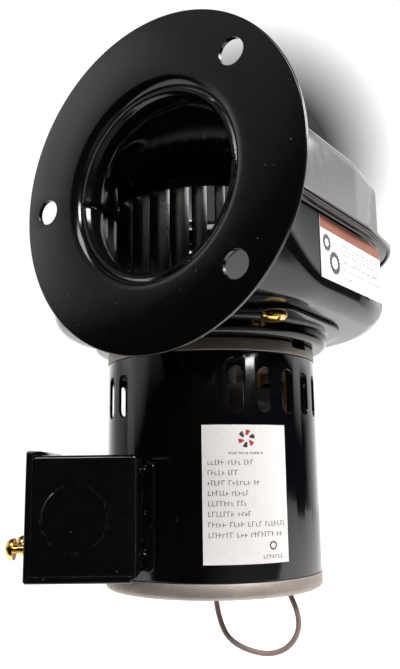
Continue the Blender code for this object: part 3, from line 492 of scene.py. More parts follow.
class Shape:
    """A solid being built, in millimetres in the part's frame."""

    def __init__(self) -> None:
        """Starts with nothing."""
        self.mesh = bmesh.new()

    def box(self, low: Point, high: Point) -> Shape:
        """Adds a box between two corners."""
        low, high = Vector(low), Vector(high)
        place = Matrix.Translation((low + high) / 2) @ Matrix.Diagonal((*(high - low), 1.0))
        bmesh.ops.create_cube(self.mesh, size=1.0, matrix=place)
        return self

    def rod(self, start: Point, end: Point, radius: float, sides: int) -> Shape:
        """Adds a rod between two points."""
        start, end = Vector(start), Vector(end)
        turn = (end - start).to_track_quat("Z", "Y").to_matrix().to_4x4()
        bmesh.ops.create_cone(
            self.mesh,
            cap_ends=True,
            segments=sides,
            radius1=radius,
            radius2=radius,
            depth=(end - start).length,
            matrix=Matrix.Translation((start + end) / 2) @ turn,
        )
        return self

    def drill(self, spot: Point, low: float, high: float, radius: float, sides: int) -> Shape:
        """Adds an upright rod at a place in plan, between two heights."""
        return self.rod((spot[0], spot[1], low), (spot[0], spot[1], high), radius, sides)

    def walled(self, rings: Sequence[Sequence[Point]]) -> Shape:
        """Adds a solid through rings of points, with walls between them and a cap on each end."""
        rings = [[self.mesh.verts.new(spot) for spot in ring] for ring in rings]
        for one, two in zip(rings, rings[1:]):
            for i in range(len(one)):
                j = (i + 1) % len(one)
                self.mesh.faces.new((one[i], one[j], two[j], two[i]))
        self.mesh.faces.new(rings[0])
        self.mesh.faces.new(rings[-1])
        return self

    def loft(self, levels: Sequence[tuple[Outline, float]], place: Matrix | None = None) -> Shape:
        """Adds a solid through outlines of one length, each at its own height."""
        place = place or Matrix()
        return self.walled([[place @ Vector((x, y, z)) for x, y in outline] for outline, z in levels])

    def turned(self, profile: Outline, steps: int, place: Matrix | None = None, ring: bool = True) -> Shape:
        """Adds a profile of (radius, height) pairs, turned about Z.

        Args:
            profile: The pairs, which close on themselves in a ring and otherwise end on the axis.
            steps: How many sides the turn has.
            place: Where it goes, which is at the shaft if it isn't given.
            ring: Whether the profile closes on itself.

        Returns:
            The shape itself.
        """
        place = place or SHAFT_PLACE
        rows = []
        for radius, height in profile:
            count = steps if radius > 1e-6 else 1
            turns = [2 * pi * i / steps for i in range(count)]
            spots = [Vector((radius * cos(a), radius * sin(a), height)) for a in turns]
            rows.append([self.mesh.verts.new(place @ spot) for spot in spots])
        for one, two in zip(rows, rows[1:] + rows[:1] if ring else rows[1:]):
            for i in range(steps):
                j = (i + 1) % steps
                corners = (one[i % len(one)], one[j % len(one)], two[j % len(two)], two[i % len(two)])
                corners = list(dict.fromkeys(corners))
                if len(corners) > 2:
                    self.mesh.faces.new(corners)
        return self

    def done(self, name: str, place: Matrix | None = None) -> bpy.types.Object:
        """Closes the shape into an object in metres.

        Args:
            name: The object's name.
            place: A move in millimetres that comes first.

        Returns:
            The object, in the scene.
        """
        bmesh.ops.transform(self.mesh, matrix=place or Matrix(), verts=self.mesh.verts)
        bmesh.ops.scale(self.mesh, vec=(MM, MM, MM), verts=self.mesh.verts)
        bmesh.ops.recalc_face_normals(self.mesh, faces=self.mesh.faces)
        mesh = bpy.data.meshes.new(name)
        self.mesh.to_mesh(mesh)
        self.mesh.free()
        obj = bpy.data.objects.new(name, mesh)
        bpy.context.scene.collection.objects.link(obj)
        return obj


def plug(radius: float, low: float, high: float, steps: int = 144) -> Shape:
    """A round cutter about the shaft, between two heights."""
    return Shape().turned([(0, low), (radius, low), (radius, high), (0, high)], steps, ring=False)


def settle(obj: bpy.types.Object) -> bpy.types.Object:
    """Turns the object's modifiers into plain mesh."""
    graph = bpy.context.evaluated_depsgraph_get()
    mesh = bpy.data.meshes.new_from_object(obj.evaluated_get(graph))
    obj.modifiers.clear()
    obj.data = mesh
    return obj


def worked(obj: bpy.types.Object, kind: Cut, *others: bpy.types.Object) -> bpy.types.Object:
    """Cuts others away from an object or joins them to it, and removes them."""
    for other in others:
        modifier = obj.modifiers.new(other.name, "BOOLEAN")
        modifier.operation = kind.value
        modifier.solver = "EXACT"
        modifier.object = other
    settle(obj)
    for other in others:
        bpy.data.objects.remove(other)
    return obj


def softened(obj: bpy.types.Object, width: float, segments: int = 2, angle: float = 40.0) -> bpy.types.Object:
    """Rounds an object's sharp edges by a width in millimetres."""
    bevel = obj.modifiers.new("Soft edges", "BEVEL")
    bevel.width = width * MM
    bevel.segments = segments
    bevel.limit_method = "ANGLE"
    bevel.angle_limit = radians(angle)
    bevel.use_clamp_overlap = False
    return settle(obj)


def ring_tree() -> bpy.types.NodeTree:
    """Geometry nodes that set copies of a shape round the shaft."""
    tree = bpy.data.node_groups.get("copies_round_the_shaft")
    if tree:
        return tree
    tree = bpy.data.node_groups.new("copies_round_the_shaft", "GeometryNodeTree")
    sockets = (
        ("Shape", "Geometry"), ("Count", "Int"), ("First direction", "Float"),
        ("Step", "Float"), ("Centre", "Vector"), ("Finish", "Material"),
    )
    for name, kind in sockets:
        tree.interface.new_socket(name, in_out="INPUT", socket_type=f"NodeSocket{kind}")
    tree.interface.new_socket("Copies", in_out="OUTPUT", socket_type="NodeSocketGeometry")
    wiring = Wiring(tree)
    given = wiring.add("NodeGroupInput").outputs
    index = wiring.add("GeometryNodeInputIndex").outputs[0]
    spread = wiring.add("ShaderNodeMath", {0: index, 1: given["Step"]}, operation="MULTIPLY").outputs[0]
    turn = wiring.add("ShaderNodeMath", {0: spread, 1: given["First direction"]}, operation="ADD").outputs[0]
    facing = wiring.add("ShaderNodeCombineXYZ", {"Z": turn}).outputs[0]
    rotation = wiring.add("FunctionNodeEulerToRotation", {0: facing}).outputs[0]
    points = wiring.add("GeometryNodePoints", {"Count": given["Count"]}).outputs[0]
    copies = wiring.add(
        "GeometryNodeInstanceOnPoints", {"Points": points, "Instance": given["Shape"], "Rotation": rotation}
    ).outputs[0]
    real = wiring.add("GeometryNodeRealizeInstances", {"Geometry": copies}).outputs[0]
    moved = wiring.add("GeometryNodeTransform", {"Geometry": real, "Translation": given["Centre"]}).outputs[0]
    finished = wiring.add("GeometryNodeSetMaterial", {"Geometry": moved, "Material": given["Finish"]})
    wiring.add("NodeGroupOutput", {"Copies": finished.outputs[0]})
    return tree


def ringed(obj: bpy.types.Object, count: int, first: float, step: float, finish: Finish) -> bpy.types.Object:
    """Repeats a shape round the shaft.

    Args:
        obj: The shape, about the origin and at direction zero.
        count: How many copies there are.
        first: The first copy's direction in degrees.
        step: Degrees from each copy to the next.
        finish: What the copies are made of.

    Returns:
        The object, with all the copies in its mesh.
    """
    modifier = obj.modifiers.new("Ring", "NODES")
    tree = ring_tree()
    values = {
        "Count": count, "First direction": radians(first), "Step": radians(step),
        "Centre": SHAFT * MM, "Finish": finish.material(),
    }
    for item in tree.interface.items_tree:
        if item.item_type == "SOCKET" and item.name in values:
            values[item.identifier] = values.pop(item.name)
    modifier.node_group = tree
    for identifier, value in values.items():
        modifier[identifier] = value
    return settle(obj)


def dressed(
    obj: bpy.types.Object, finish: Finish, body: Body, *nodes: str, sharp: float = 38.0
) -> bpy.types.Object:
    """Gives a piece its finish and body, and says what it replaces.

    Args:
        obj: The piece.
        finish: Its finish.
        body: The body that it moves with.
        nodes: The CAD nodes that it stands for.
        sharp: Edges over this many degrees stay sharp.

    Returns:
        The piece.
    """
    obj.data.materials.clear()
    obj.data.materials.append(finish.material())
    obj.data.shade_smooth()
    obj.data.set_sharp_from_angle(angle=radians(sharp))
    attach(obj, body.value)
    if nodes:
        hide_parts(*nodes)
    LOG.info("%s: %d faces", obj.name, len(obj.data.polygons))
    return obj


# ------------------------------------------------------------------ housing


@dataclass
class Scroll:
    """The two pressed halves of the blower's housing."""

    start_r: float = 63.0
    end_r: float = 71.0
    tongue: float = -91.0
    sweep: float = 269.0
    draw: float = 8.5
    neck_r: float = 28.9
    curl_r: float = 30.1
    lip: float = 4.6
    wheel_hole_r: float = 46.4
    inlet_r: float = 33.0
    drain_at: tuple[float, float] = (10.0, 92.0)
    drain_r: float = 1.3
    hem_depth: float = 1.6
    neck_depths: tuple[float, ...] = (
        2.0, 2.3, 2.8, 3.4, 4.0, 4.8, 5.6, 6.4, 7.2, 8.0, 8.8, 9.6, 10.4, 11.2, 12.0, 13.0, 14.0, 15.0,
    )

    def mouth_radius(self, depth: float) -> float:
        """Outer radius of the neck at this depth behind the flange."""
        curl = (self.curl_r - self.neck_r) * (1 - smooth((depth - self.neck_depths[0]) / 2.5))
        return self.neck_r + curl + (HALF_HEIGHT - self.neck_r) * smooth((depth - 8.0) / 7.0)

    def stations(self) -> list[tuple[float, float, float, float]]:
        """The plan as (x, y, half height, draw radius), from the neck clockwise and back."""
        found = []
        for y in self.neck_depths:
            radius = self.mouth_radius(y)
            found.append((-radius, y, radius, radius - 0.4 - 16.0 * smooth((y - 6.0) / 14.0)))
        tongue_y = SHAFT.y - self.start_r
        for i, (x, y) in enumerate(arc((-HALF_HEIGHT - 5.0, tongue_y - 5.0), 5.0, 0, 90, 12)):
            found.append((x, y, HALF_HEIGHT, 14.0 - i / 3))
        steps = 4
        for step in range(27 * steps + 1):
            direction = self.tongue - 5.0 - 9.0 / steps * step
            share = min((self.tongue - direction) / self.sweep, 1.0)
            radius = self.start_r + (self.end_r - self.start_r) * share
            x = min(SHAFT.x + radius * cos(radians(direction)), LABEL_WALL_X)
            draw = self.draw + 1.5 * (1 - smooth(step / steps / 5))
            found.append((x, SHAFT.y + radius * sin(radians(direction)), HALF_HEIGHT, draw))
        straight = [84.0 - 2.0 * i for i in range(34)]
        for y in (*straight, *reversed(self.neck_depths)):
            radius = self.mouth_radius(y)
            draw = self.draw + (radius - 0.4 - self.draw) * (1 - smooth((y - 8.0) / 46.0))
            found.append((radius, y, radius, draw))
        return found

    def outward(self, stations: Sequence[Point]) -> list[Vector]:
        """The plan's outward direction at each station, square to the neck along it."""
        found = []
        neck = len(self.neck_depths)
        for i in range(len(stations)):
            if neck <= i < len(stations) - neck:
                before, after = stations[i - 1], stations[i + 1]
                along = Vector((after[0] - before[0], after[1] - before[1]))
            else:
                along = Vector((0.0, 1.0 if i < neck else -1.0))
            along.normalize()
            found.append(Vector((-along.y, along.x)))
        return found

    def section(self, half: float, draw: float, lip: float, hem: float) -> tuple[Outline, Outline]:
        """One half's outer and inner runs as (outset, depth) pairs.

        Args:
            half: Half the housing's height here.
            draw: The drawn edge's radius.
            lip: How far the seam lip stands out.
            hem: How far the lip's edge folds past the seam.

        Returns:
            The two runs, from the seam to the flat face.
        """
        edge = GAP / 2
        back = SHEET if hem > 0 else 0.0
        nose = min(0.25, 0.4 * lip)
        outer = [(lip - nose, edge - hem), (lip, edge - hem + nose)]
        outer += [(lip, edge + SHEET - nose), (lip - nose, edge + SHEET)]
        fillet = min(0.9, 0.6 * lip)
        outer += [(fillet, edge + SHEET), (0.45 * fillet, edge + 1.15 * SHEET), (0.0, edge + 2 * SHEET)]
        inside_lip = lip - (back or nose)
        inner = [(inside_lip - 0.005 * i, edge - hem * (1 - i / 3)) for i in range(4)]
        inner += [(0.1, edge), (-0.5 * SHEET, edge + 0.3 * SHEET), (-SHEET, edge + SHEET)]
        steps = 12
        for i in range(steps + 1):
            angle = radians(90 * i / steps)
            depth = half - draw + draw * sin(angle)
            outer.append((-draw * (1 - cos(angle)), max(depth, edge + 2.2 * SHEET)))
            inside = max(draw - SHEET, 0.3)
            depth = half - SHEET - inside + inside * sin(angle)
            inner.append((-SHEET - inside * (1 - cos(angle)), max(depth, edge + 1.3 * SHEET)))
        return outer, inner

    def half(self, name: str, side: int, hem: float) -> bpy.types.Object:
        """One half. Side is -1 for the lower one."""
        stations = self.stations()
        shape = Shape()
        faces, verts = shape.mesh.faces, shape.mesh.verts
        skins: tuple[list, list] = ([], [])
        for (x, y, half, draw), normal in zip(stations, self.outward(stations)):
            depth = y if abs(x) < HALF_HEIGHT + 1 else 30.0
            width = 0.25 + (self.lip - 0.25) * smooth((depth - 7.2) / 4.0)
            if not hem:
                width = max(width - SHEET - GAP, 0.2)
            for skin, run in zip(skins, self.section(half, draw, width, hem * smooth((width - 1.6) / 1.5))):
                spots = [(x + normal.x * out, y + normal.y * out, side * deep) for out, deep in run]
                skin.append([verts.new(spot) for spot in spots])
        last = len(skins[0][0]) - 1
        for skin in skins:
            for one, two in zip(skin, skin[1:]):
                for j in range(last):
                    faces.new((one[j], one[j + 1], two[j + 1], two[j]))
            floor = [row[last] for row in skin]
            end = len(self.neck_depths) - 1
            for i in range(end):
                faces.new((floor[i], floor[i + 1], floor[-2 - i], floor[-1 - i]))
            faces.new(floor[end : len(floor) - end])
        outer, inner = skins
        for one, two, three, four in zip(outer, outer[1:], inner[1:], inner):
            faces.new((one[0], two[0], three[0], four[0]))
        for end in (0, -1):
            for j in range(last):
                faces.new((outer[end][j], outer[end][j + 1], inner[end][j + 1], inner[end][j]))
        faces.new((outer[0][last], outer[-1][last], inner[-1][last], inner[0][last]))
        return shape.done(name)

    def build(self) -> None:
        """Makes both halves, with the wheel's hole and the inlet."""
        lower = self.half("scroll_lower_half", -1, 0.0)
        low, high, rim_r = -40, -26, self.drain_r
        holes = Shape()
        for direction in EAR_DIRECTIONS:
            holes.drill(around(direction, SCREW_R), low, high, 2.1, 32)
        drain = Shape().drill(self.drain_at, low, high, rim_r, 32)
        under, over = -HALF_HEIGHT - 0.05, -HALF_HEIGHT + 0.4
        dished = [(rim_r, under), (rim_r + 0.8, under), (rim_r + 0.5, over), (rim_r, over)]
        rim = Shape().turned(dished, 32, Matrix.Translation((*self.drain_at, 0.0)))
        worked(
            lower, Cut.AWAY, plug(self.wheel_hole_r, low, high).done("wheel_hole"), holes.done("screw_holes"),
            drain.done("drain_hole"), rim.done("drain_rim"),
        )
        dressed(lower, HOUSING_BLACK, Body.FRAME, "lower_pan", sharp=50)
        upper = self.half("scroll_upper_half", 1, self.hem_depth)
        worked(upper, Cut.AWAY, plug(self.inlet_r, -high, -low).done("inlet_hole"))
        curl = (
            (1.5, -0.2), (1.5, -0.8), (0.9, -1.0), (0.3, -1.6), (-0.2, -2.3), (-0.6, -3.2), (-0.8, -5.4),
            (-1.3, -5.6), (-1.8, -5.4), (-1.6, -2.8), (-1.2, -1.7), (-0.6, -0.9), (0.4, -0.3),
        )
        profile = [(self.inlet_r + out, HALF_HEIGHT + up) for out, up in curl]
        worked(upper, Cut.JOINED, Shape().turned(profile, 144).done("inlet_curl"))
        dressed(upper, HOUSING_BLACK, Body.FRAME, "upper_pan", sharp=50)


@dataclass
class Flange:
    """The round plate that carries the blower by three bolts."""

    outer_r: float = 54.0
    bore_r: float = 30.6
    sheet: float = 1.5
    bolt_circle_r: float = 44.45
    hole_r: float = 4.2
    hole_angles: tuple[float, ...] = (46.0, 180.0, -46.0)

    def profile(self) -> Outline:
        """The section, from the outer edge over the back to the bore."""
        outer, bore, back = self.outer_r, self.bore_r, -self.sheet
        edge = [(outer - 0.4 + 0.4 * cos(a), -0.4 + 0.4 * sin(a)) for a in (pi / 2, pi / 3, pi / 6, 0)]
        edge += [(outer - 0.3 + 0.3 * cos(a), back + 0.3 + 0.3 * sin(a)) for a in (0, -pi / 4, -pi / 2)]
        neck = [(bore + 4.4 - 3.2 * sin(a), back - 3.0 + 3.0 * cos(a)) for a in quarter(6)]
        face = [(bore + 3.4 - 3.4 * sin(a), -3.4 + 3.4 * cos(a)) for a in reversed(quarter(8))]
        return edge + neck + [(bore + 1.2, -6.9), (bore + 0.9, -7.0), (bore + 0.2, -7.0), (bore, -6.8)] + face

    def build(self) -> None:
        """Turns the plate and cuts its holes, each with a small chamfer."""
        facing = Matrix.Rotation(radians(90), 4, "X")
        plate = Shape().turned(self.profile(), 256, facing).done("flange_plate")
        cutter = Shape()
        wide = self.hole_r + 3.2
        drill = [(0, 3), (wide, 3), (self.hole_r, -0.18)]
        drill += [(self.hole_r, -self.sheet + 0.15), (wide, -4), (0, -4)]
        for angle in self.hole_angles:
            x, z = self.bolt_circle_r * cos(radians(angle)), self.bolt_circle_r * sin(radians(angle))
            cutter.turned(drill, 64, Matrix.Translation((x, 0, z)) @ facing, ring=False)
        worked(plate, Cut.AWAY, cutter.done("flange_holes"))
        dressed(plate, HOUSING_BLACK, Body.FRAME, "outlet_flange", sharp=35)


@dataclass
class Adapter:
    """The eared plate with its dish, which hangs the motor under the scroll."""

    motor_screw_r: ClassVar[float] = 27.0
    plate_r: float = 53.0
    ear_r: float = 9.0
    ear_reach: float = 53.4
    dish_r: float = 47.6
    floor: float = -38.9

    def outline(self, inset: float) -> list[tuple[float, float]]:
        """The plate's outline, this much smaller: a circle and two ears with tangents between."""
        turn = degrees(acos((self.plate_r - self.ear_r) / self.ear_reach))
        found: list[tuple[float, float]] = []
        for start, side in ((0, 1), (180, -1)):
            found += arc((side * self.ear_reach, 0), self.ear_r - inset, start - turn, start + turn, 24)
            found += arc((0, 0), self.plate_r - inset, start + turn, start + 180 - turn, 48)
        return found

    def build(self) -> None:
        """Makes the plate and dish as one pressing, with its holes."""
        place = SHAFT_PLACE @ Matrix.Rotation(radians(EAR_DIRECTIONS[0]), 4, "Z")
        levels = [(0.25, -1.2), (0.06, -1.12), (0.0, -0.95), (0.0, -0.2), (0.2, 0.0)]
        outlines = [(self.outline(inset), PLATE_TOP + z) for inset, z in levels]
        plate = Shape().loft(outlines, place).done("adapter_plate")
        worked(plate, Cut.AWAY, plug(self.dish_r - 2, -40, -28).done("dish_mouth"))
        top, wall, low = PLATE_TOP - 0.3, self.dish_r, self.floor
        flare = [(wall + 1.9 - 1.9 * sin(a), top - 2.4 + 1.9 * cos(a)) for a in quarter(6)]
        heel = [(wall - 2.8 + 2.8 * cos(a), low + 2.8 - 2.8 * sin(a)) for a in quarter(8)]
        inner = [(wall - 2.8 + 1.6 * cos(a), low + 2.8 - 1.6 * sin(a)) for a in reversed(quarter(8))]
        bore = [(12.2, low), (12.0, low + 0.2), (12.0, low + 1.2)]
        dish = flare + heel + bore + inner + [(wall - 1.3, top)]
        worked(plate, Cut.JOINED, Shape().turned(dish, 180).done("dish"))
        drilled = Shape()
        for direction in EAR_DIRECTIONS:
            drilled.drill(around(direction, SCREW_R), -40, -28, 2.1, 32)
        for direction in BOLT_DIRECTIONS:
            drilled.drill(around(direction + 45, self.motor_screw_r), -42, -34, 2.2, 24)
        worked(plate, Cut.AWAY, drilled.done("plate_holes"))
        dressed(plate, HOUSING_BLACK, Body.FRAME, "adapter_dish", sharp=35)


# ------------------------------------------------------------------ screws


@dataclass
class PanScrew:
    """A pan head machine screw with a cross recess and a thread."""

    head_r: float
    head_h: float
    shank_r: float
    length: float
    pitch: float = 0.8
    slotted: bool = False

    def solid(self, name: str, place: Matrix) -> bpy.types.Object:
        """Makes one screw.

        Args:
            name: The object's name.
            place: Puts the origin under the head, with Z along the shank.

        Returns:
            The screw.
        """
        head = [
            (self.head_r, 0.0), (self.head_r + 0.02, -0.12), (self.head_r, -0.3 * self.head_h),
            (0.93 * self.head_r, -0.55 * self.head_h), (0.8 * self.head_r, -0.78 * self.head_h),
            (0.6 * self.head_r, -0.92 * self.head_h), (0.35 * self.head_r, -self.head_h), (0.0, -self.head_h),
        ]
        thread = [(0.0, self.length), (self.shank_r - 0.5, self.length)]
        turns = int(self.length / self.pitch) - 1
        for i in range(turns, 0, -1):
            crest = i * self.pitch
            thread.append((self.shank_r - 0.28, crest + self.pitch / 2))
            thread += [(self.shank_r, crest + 0.1), (self.shank_r, crest - 0.1)]
        thread += [(self.shank_r - 0.1, 0.3), (self.shank_r - 0.1, 0.0)]
        screw = Shape().turned([*thread, *head], 40, place, ring=False).done(name)
        arm, slot = 0.56 * self.head_r, 0.13 * self.head_r
        deep = -0.35 * self.head_h
        cross = [
            (arm, slot), (slot, slot), (slot, arm), (-slot, arm), (-slot, slot), (-arm, slot),
            (-arm, -slot), (-slot, -slot), (-slot, -arm), (slot, -arm), (slot, -slot), (arm, -slot),
        ]
        small = [(x * 0.6, y * 0.6) for x, y in cross]
        wide = [(x * 1.12, y * 1.12) for x, y in cross]
        levels = [(wide, -self.head_h - 0.6), (cross, -self.head_h + 0.05), (small, deep)]
        cuts = [Shape().loft(levels, place).done("recess")]
        if self.slotted:
            reach = self.head_r + 1
            bar = Shape().box((-reach, -0.5, -self.head_h - 1), (reach, 0.5, -0.6 * self.head_h))
            cuts.append(bar.done("slot", place))
        return worked(screw, Cut.AWAY, *cuts)


def aimed(place: Vector, direction: Point = (0, 0, 1)) -> Matrix:
    """A frame at a point whose Z runs along a direction."""
    return Matrix.Translation(place) @ Vector(direction).to_track_quat("Z", "Y").to_matrix().to_4x4()


def build_plate_screws() -> None:
    """The two screws that hold the adapter to the scroll, and the four bolts through the motor."""
    seat = Vector((SCREW_R, 0, PLATE_TOP - 1.2 - GAP))
    screw = PanScrew(head_r=4.7, head_h=2.8, shank_r=1.8, length=5.4, slotted=True)
    screw = screw.solid("adapter_screws", aimed(seat))
    nodes = [f"adapter_screw_{i}" for i in range(1, 3)]
    screws = ringed(screw, 2, EAR_DIRECTIONS[0], 180.0, YELLOW_ZINC)
    dressed(screws, YELLOW_ZINC, Body.FRAME, *nodes, sharp=30)
    seat = Vector((BOLT_R, 0, -41.4 + GAP))
    bolt = PanScrew(head_r=2.9, head_h=1.7, shank_r=1.8, length=88.0, pitch=4.0)
    bolt = bolt.solid("through_bolts", aimed(seat, (0, 0, -1)))
    nodes = [f"through_bolt_{i}" for i in range(1, 5)]
    bolts = ringed(bolt, 4, BOLT_DIRECTIONS[0], 90.0, YELLOW_ZINC)
    dressed(bolts, YELLOW_ZINC, Body.FRAME, *nodes, sharp=30)


# ------------------------------------------------------------------ motor


@dataclass
class MotorCase:
    """The vented shell between two cast end bells."""

    top: float = -44.3
    bottom: float = -124.4
    crown: float = -39.2
    spigot_r: float = 40.6
    slot_half_w: float = 2.85
    slot_half_h: float = 8.0
    slot_height: float = -58.2
    slot_mirror: float = -75.0
    slot_first: float = 32.5
    slot_step: float = 15.0
    slots_a_side: int = 9
    notch_half: float = 4.75
    notch_floor: float = -41.4

    def slot_cutter(self, side: int) -> bpy.types.Object:
        """One row of slots, each flared where it meets the outer face."""
        outlines = []
        for grow, out in ((0.0, -4.0), (0.0, -0.45), (0.1, -0.2), (0.32, 0.0), (1.4, 1.0)):
            half_w = self.slot_half_w + grow
            outlines.append((rounded(self.slot_half_h + grow, half_w, half_w - 0.02, 10), SHELL_R + out))
        upright = Matrix.Translation((0, 0, self.slot_height)) @ Matrix.Rotation(radians(90), 4, "Y")
        row = Shape().loft(outlines, upright).done("slot_row")
        first = self.slot_mirror + side * self.slot_first
        return ringed(row, self.slots_a_side, first, side * self.slot_step, SHELL_BLACK)

    def shell(self) -> None:
        """The shell with its slots, its lead hole and a locating dimple."""
        out, low, high = SHELL_R, self.bottom, self.top
        profile = [
            (out - 0.35, high), (out - 0.1, high - 0.1), (out, high - 0.35), (out, low + 0.3),
            (out - 0.1, low + 0.08), (out - 0.3, low), (out - SHEET, low), (out - SHEET, high),
        ]
        shell = Shape().turned(profile, 240).done("motor_case_shell")
        lead = Shape().drill((0, 0), out - 4, out + 3, 3.9, 40).done("lead_hole", radial(-103.0, -113.4))
        dimple = Shape()
        bmesh.ops.create_uvsphere(dimple.mesh, u_segments=24, v_segments=16, radius=1.3)
        dimple = dimple.done("dimple", radial(53.9, -121.4) @ Matrix.Translation((0, 0, out + 0.75)))
        worked(shell, Cut.AWAY, self.slot_cutter(1), self.slot_cutter(-1), lead, dimple)
        dressed(shell, SHELL_BLACK, Body.FRAME, "motor_shell", sharp=35)

    def top_bell(self) -> None:
        """The upper casting, with a notch over each bolt's head."""
        spigot, high = self.spigot_r, self.crown
        profile = [
            (4.6, high), (BELL_R - 0.9, high), (BELL_R - 0.3, high - 0.25), (BELL_R, high - 0.9),
            (BELL_R, self.top + 0.45), (BELL_R - 0.15, self.top + GAP), (spigot, self.top + GAP),
            (spigot, self.top - 3.2), (spigot - 1.8, self.top - 3.2), (spigot - 1.8, -43.4), (10.5, -43.4),
            (10.5, -52.0), (7.3, -52.0), (7.3, -40.6), (4.6, -40.6),
        ]
        bell = Shape().turned(profile, 216).done("upper_bell_casting")
        near = (BOLT_R - 3.6, -self.notch_half, self.notch_floor)
        notch = Shape().box(near, (BELL_R + 3, self.notch_half, high + 2)).done("notch")
        softened(notch, 0.5, 3)
        hole = Shape().drill((BOLT_R, 0), -48, -36, 2.1, 24).done("bolt_hole")
        screw = Shape().drill((Adapter.motor_screw_r, 0), -48, -36, 2.2, 24).done("screw_hole")
        cuts = ((notch, 0), (hole, 0), (screw, 45))
        rings = [ringed(cut, 4, BOLT_DIRECTIONS[0] + turn, 90, BELL_METAL) for cut, turn in cuts]
        worked(bell, Cut.AWAY, *rings)
        dressed(softened(bell, 0.12, 1, 50), BELL_METAL, Body.FRAME, "top_bell", sharp=40)

    def bottom_bell(self) -> None:
        """The lower casting, with its rim, its boss and its holes."""
        spigot, high, face, low = self.spigot_r, self.bottom, -127.2, -130.2
        rim = [(BELL_R - 1.8 + 1.8 * cos(a), -128.4 - 1.8 * sin(a)) for a in quarter(8)]
        profile = [
            (spigot, high + 3.2), (spigot, high - GAP), (BELL_R - 0.15, high - GAP), (BELL_R, high - 0.5),
            *rim, (40.3, low), (40.1, low + 0.3), (39.7, face + 0.2), (39.4, face), (10.2, face),
            (9.8, face - 0.2), (9.4, -128.6), (9.2, -128.8), (4.8, -128.8), (4.6, -128.6), (4.6, -127.6),
            (7.3, -127.6), (7.3, -114.0), (10.5, -114.0), (10.5, -124.8), (spigot - 1.8, -124.8),
            (spigot - 1.8, high + 3.2),
        ]
        bell = Shape().turned(profile, 216).done("lower_bell_casting")
        holes = Shape()
        for direction in BOLT_DIRECTIONS:
            holes.drill(around(direction, BOLT_R), -132, -118, 2.1, 24)
        for end in (FreeLead.route[0], FreeLead.route[-1]):
            holes.drill(BOX_PLACE @ Vector(end), -132, -118, 2.3, 32)
        worked(bell, Cut.AWAY, holes.done("bell_holes"))
        dressed(bell, BELL_METAL, Body.FRAME, "bottom_bell", sharp=40)

    def build(self) -> None:
        """Makes the shell and both bells."""
        self.shell()
        self.top_bell()
        self.bottom_bell()


@dataclass
class BlowerWheel:
    """The squirrel cage wheel, whose blades lean forward as it turns."""

    radius: float = 44.0
    bottom: float = -29.0
    top: float = 22.0
    blades: int = 32
    blade_depth: float = 8.6

    def blade(self) -> bpy.types.Object:
        """One blade about the origin, at direction zero."""
        sides: tuple[list, list] = ([], [])
        steps = 7
        for i in range(steps + 1):
            share = i / steps
            radius = self.radius - 0.4 - self.blade_depth * (1 - share)
            for side, half in zip(sides, (0.25, -0.25)):
                angle = radians(-6.5 * share**2) + half / radius
                side.append((radius * cos(angle), radius * sin(angle)))
        outline = sides[0] + sides[1][::-1]
        return Shape().loft([(outline, self.bottom + 0.9), (outline, self.top - 0.9)]).done("wheel_blades")

    def build(self) -> None:
        """Makes the blades, and the back plate and rim that hold them."""
        blades = ringed(self.blade(), self.blades, 0.0, 360 / self.blades, GALVANISED)
        out, low, high = self.radius, self.bottom, self.top
        plate = [
            (out, low + 1.8), (out, low + 0.3), (out - 0.3, low), (20.0, low), (18.0, low + 0.02), (4.6, low),
            (4.6, low + 1.0), (out - 1.0, low + 1.0), (out - 1.0, low + 1.8), (out - 0.5, low + 2.0),
        ]
        rim = [
            (out - 0.3, high), (out, high - 0.3), (out, high - 4.0), (out - 0.2, high - 4.2),
            (out - 1.0, high - 4.2), (out - 1.0, high - 1.0), (out - 5.5, high - 1.0),
            (out - 5.8, high - 0.5), (out - 5.5, high),
        ]
        plate, rim = Shape().turned(plate, 128).done("plate"), Shape().turned(rim, 128).done("rim")
        worked(blades, Cut.JOINED, plate, rim)
        dressed(blades, GALVANISED, Body.ROTOR, "blower_wheel", sharp=35)


# ------------------------------------------------------------------ wiring box


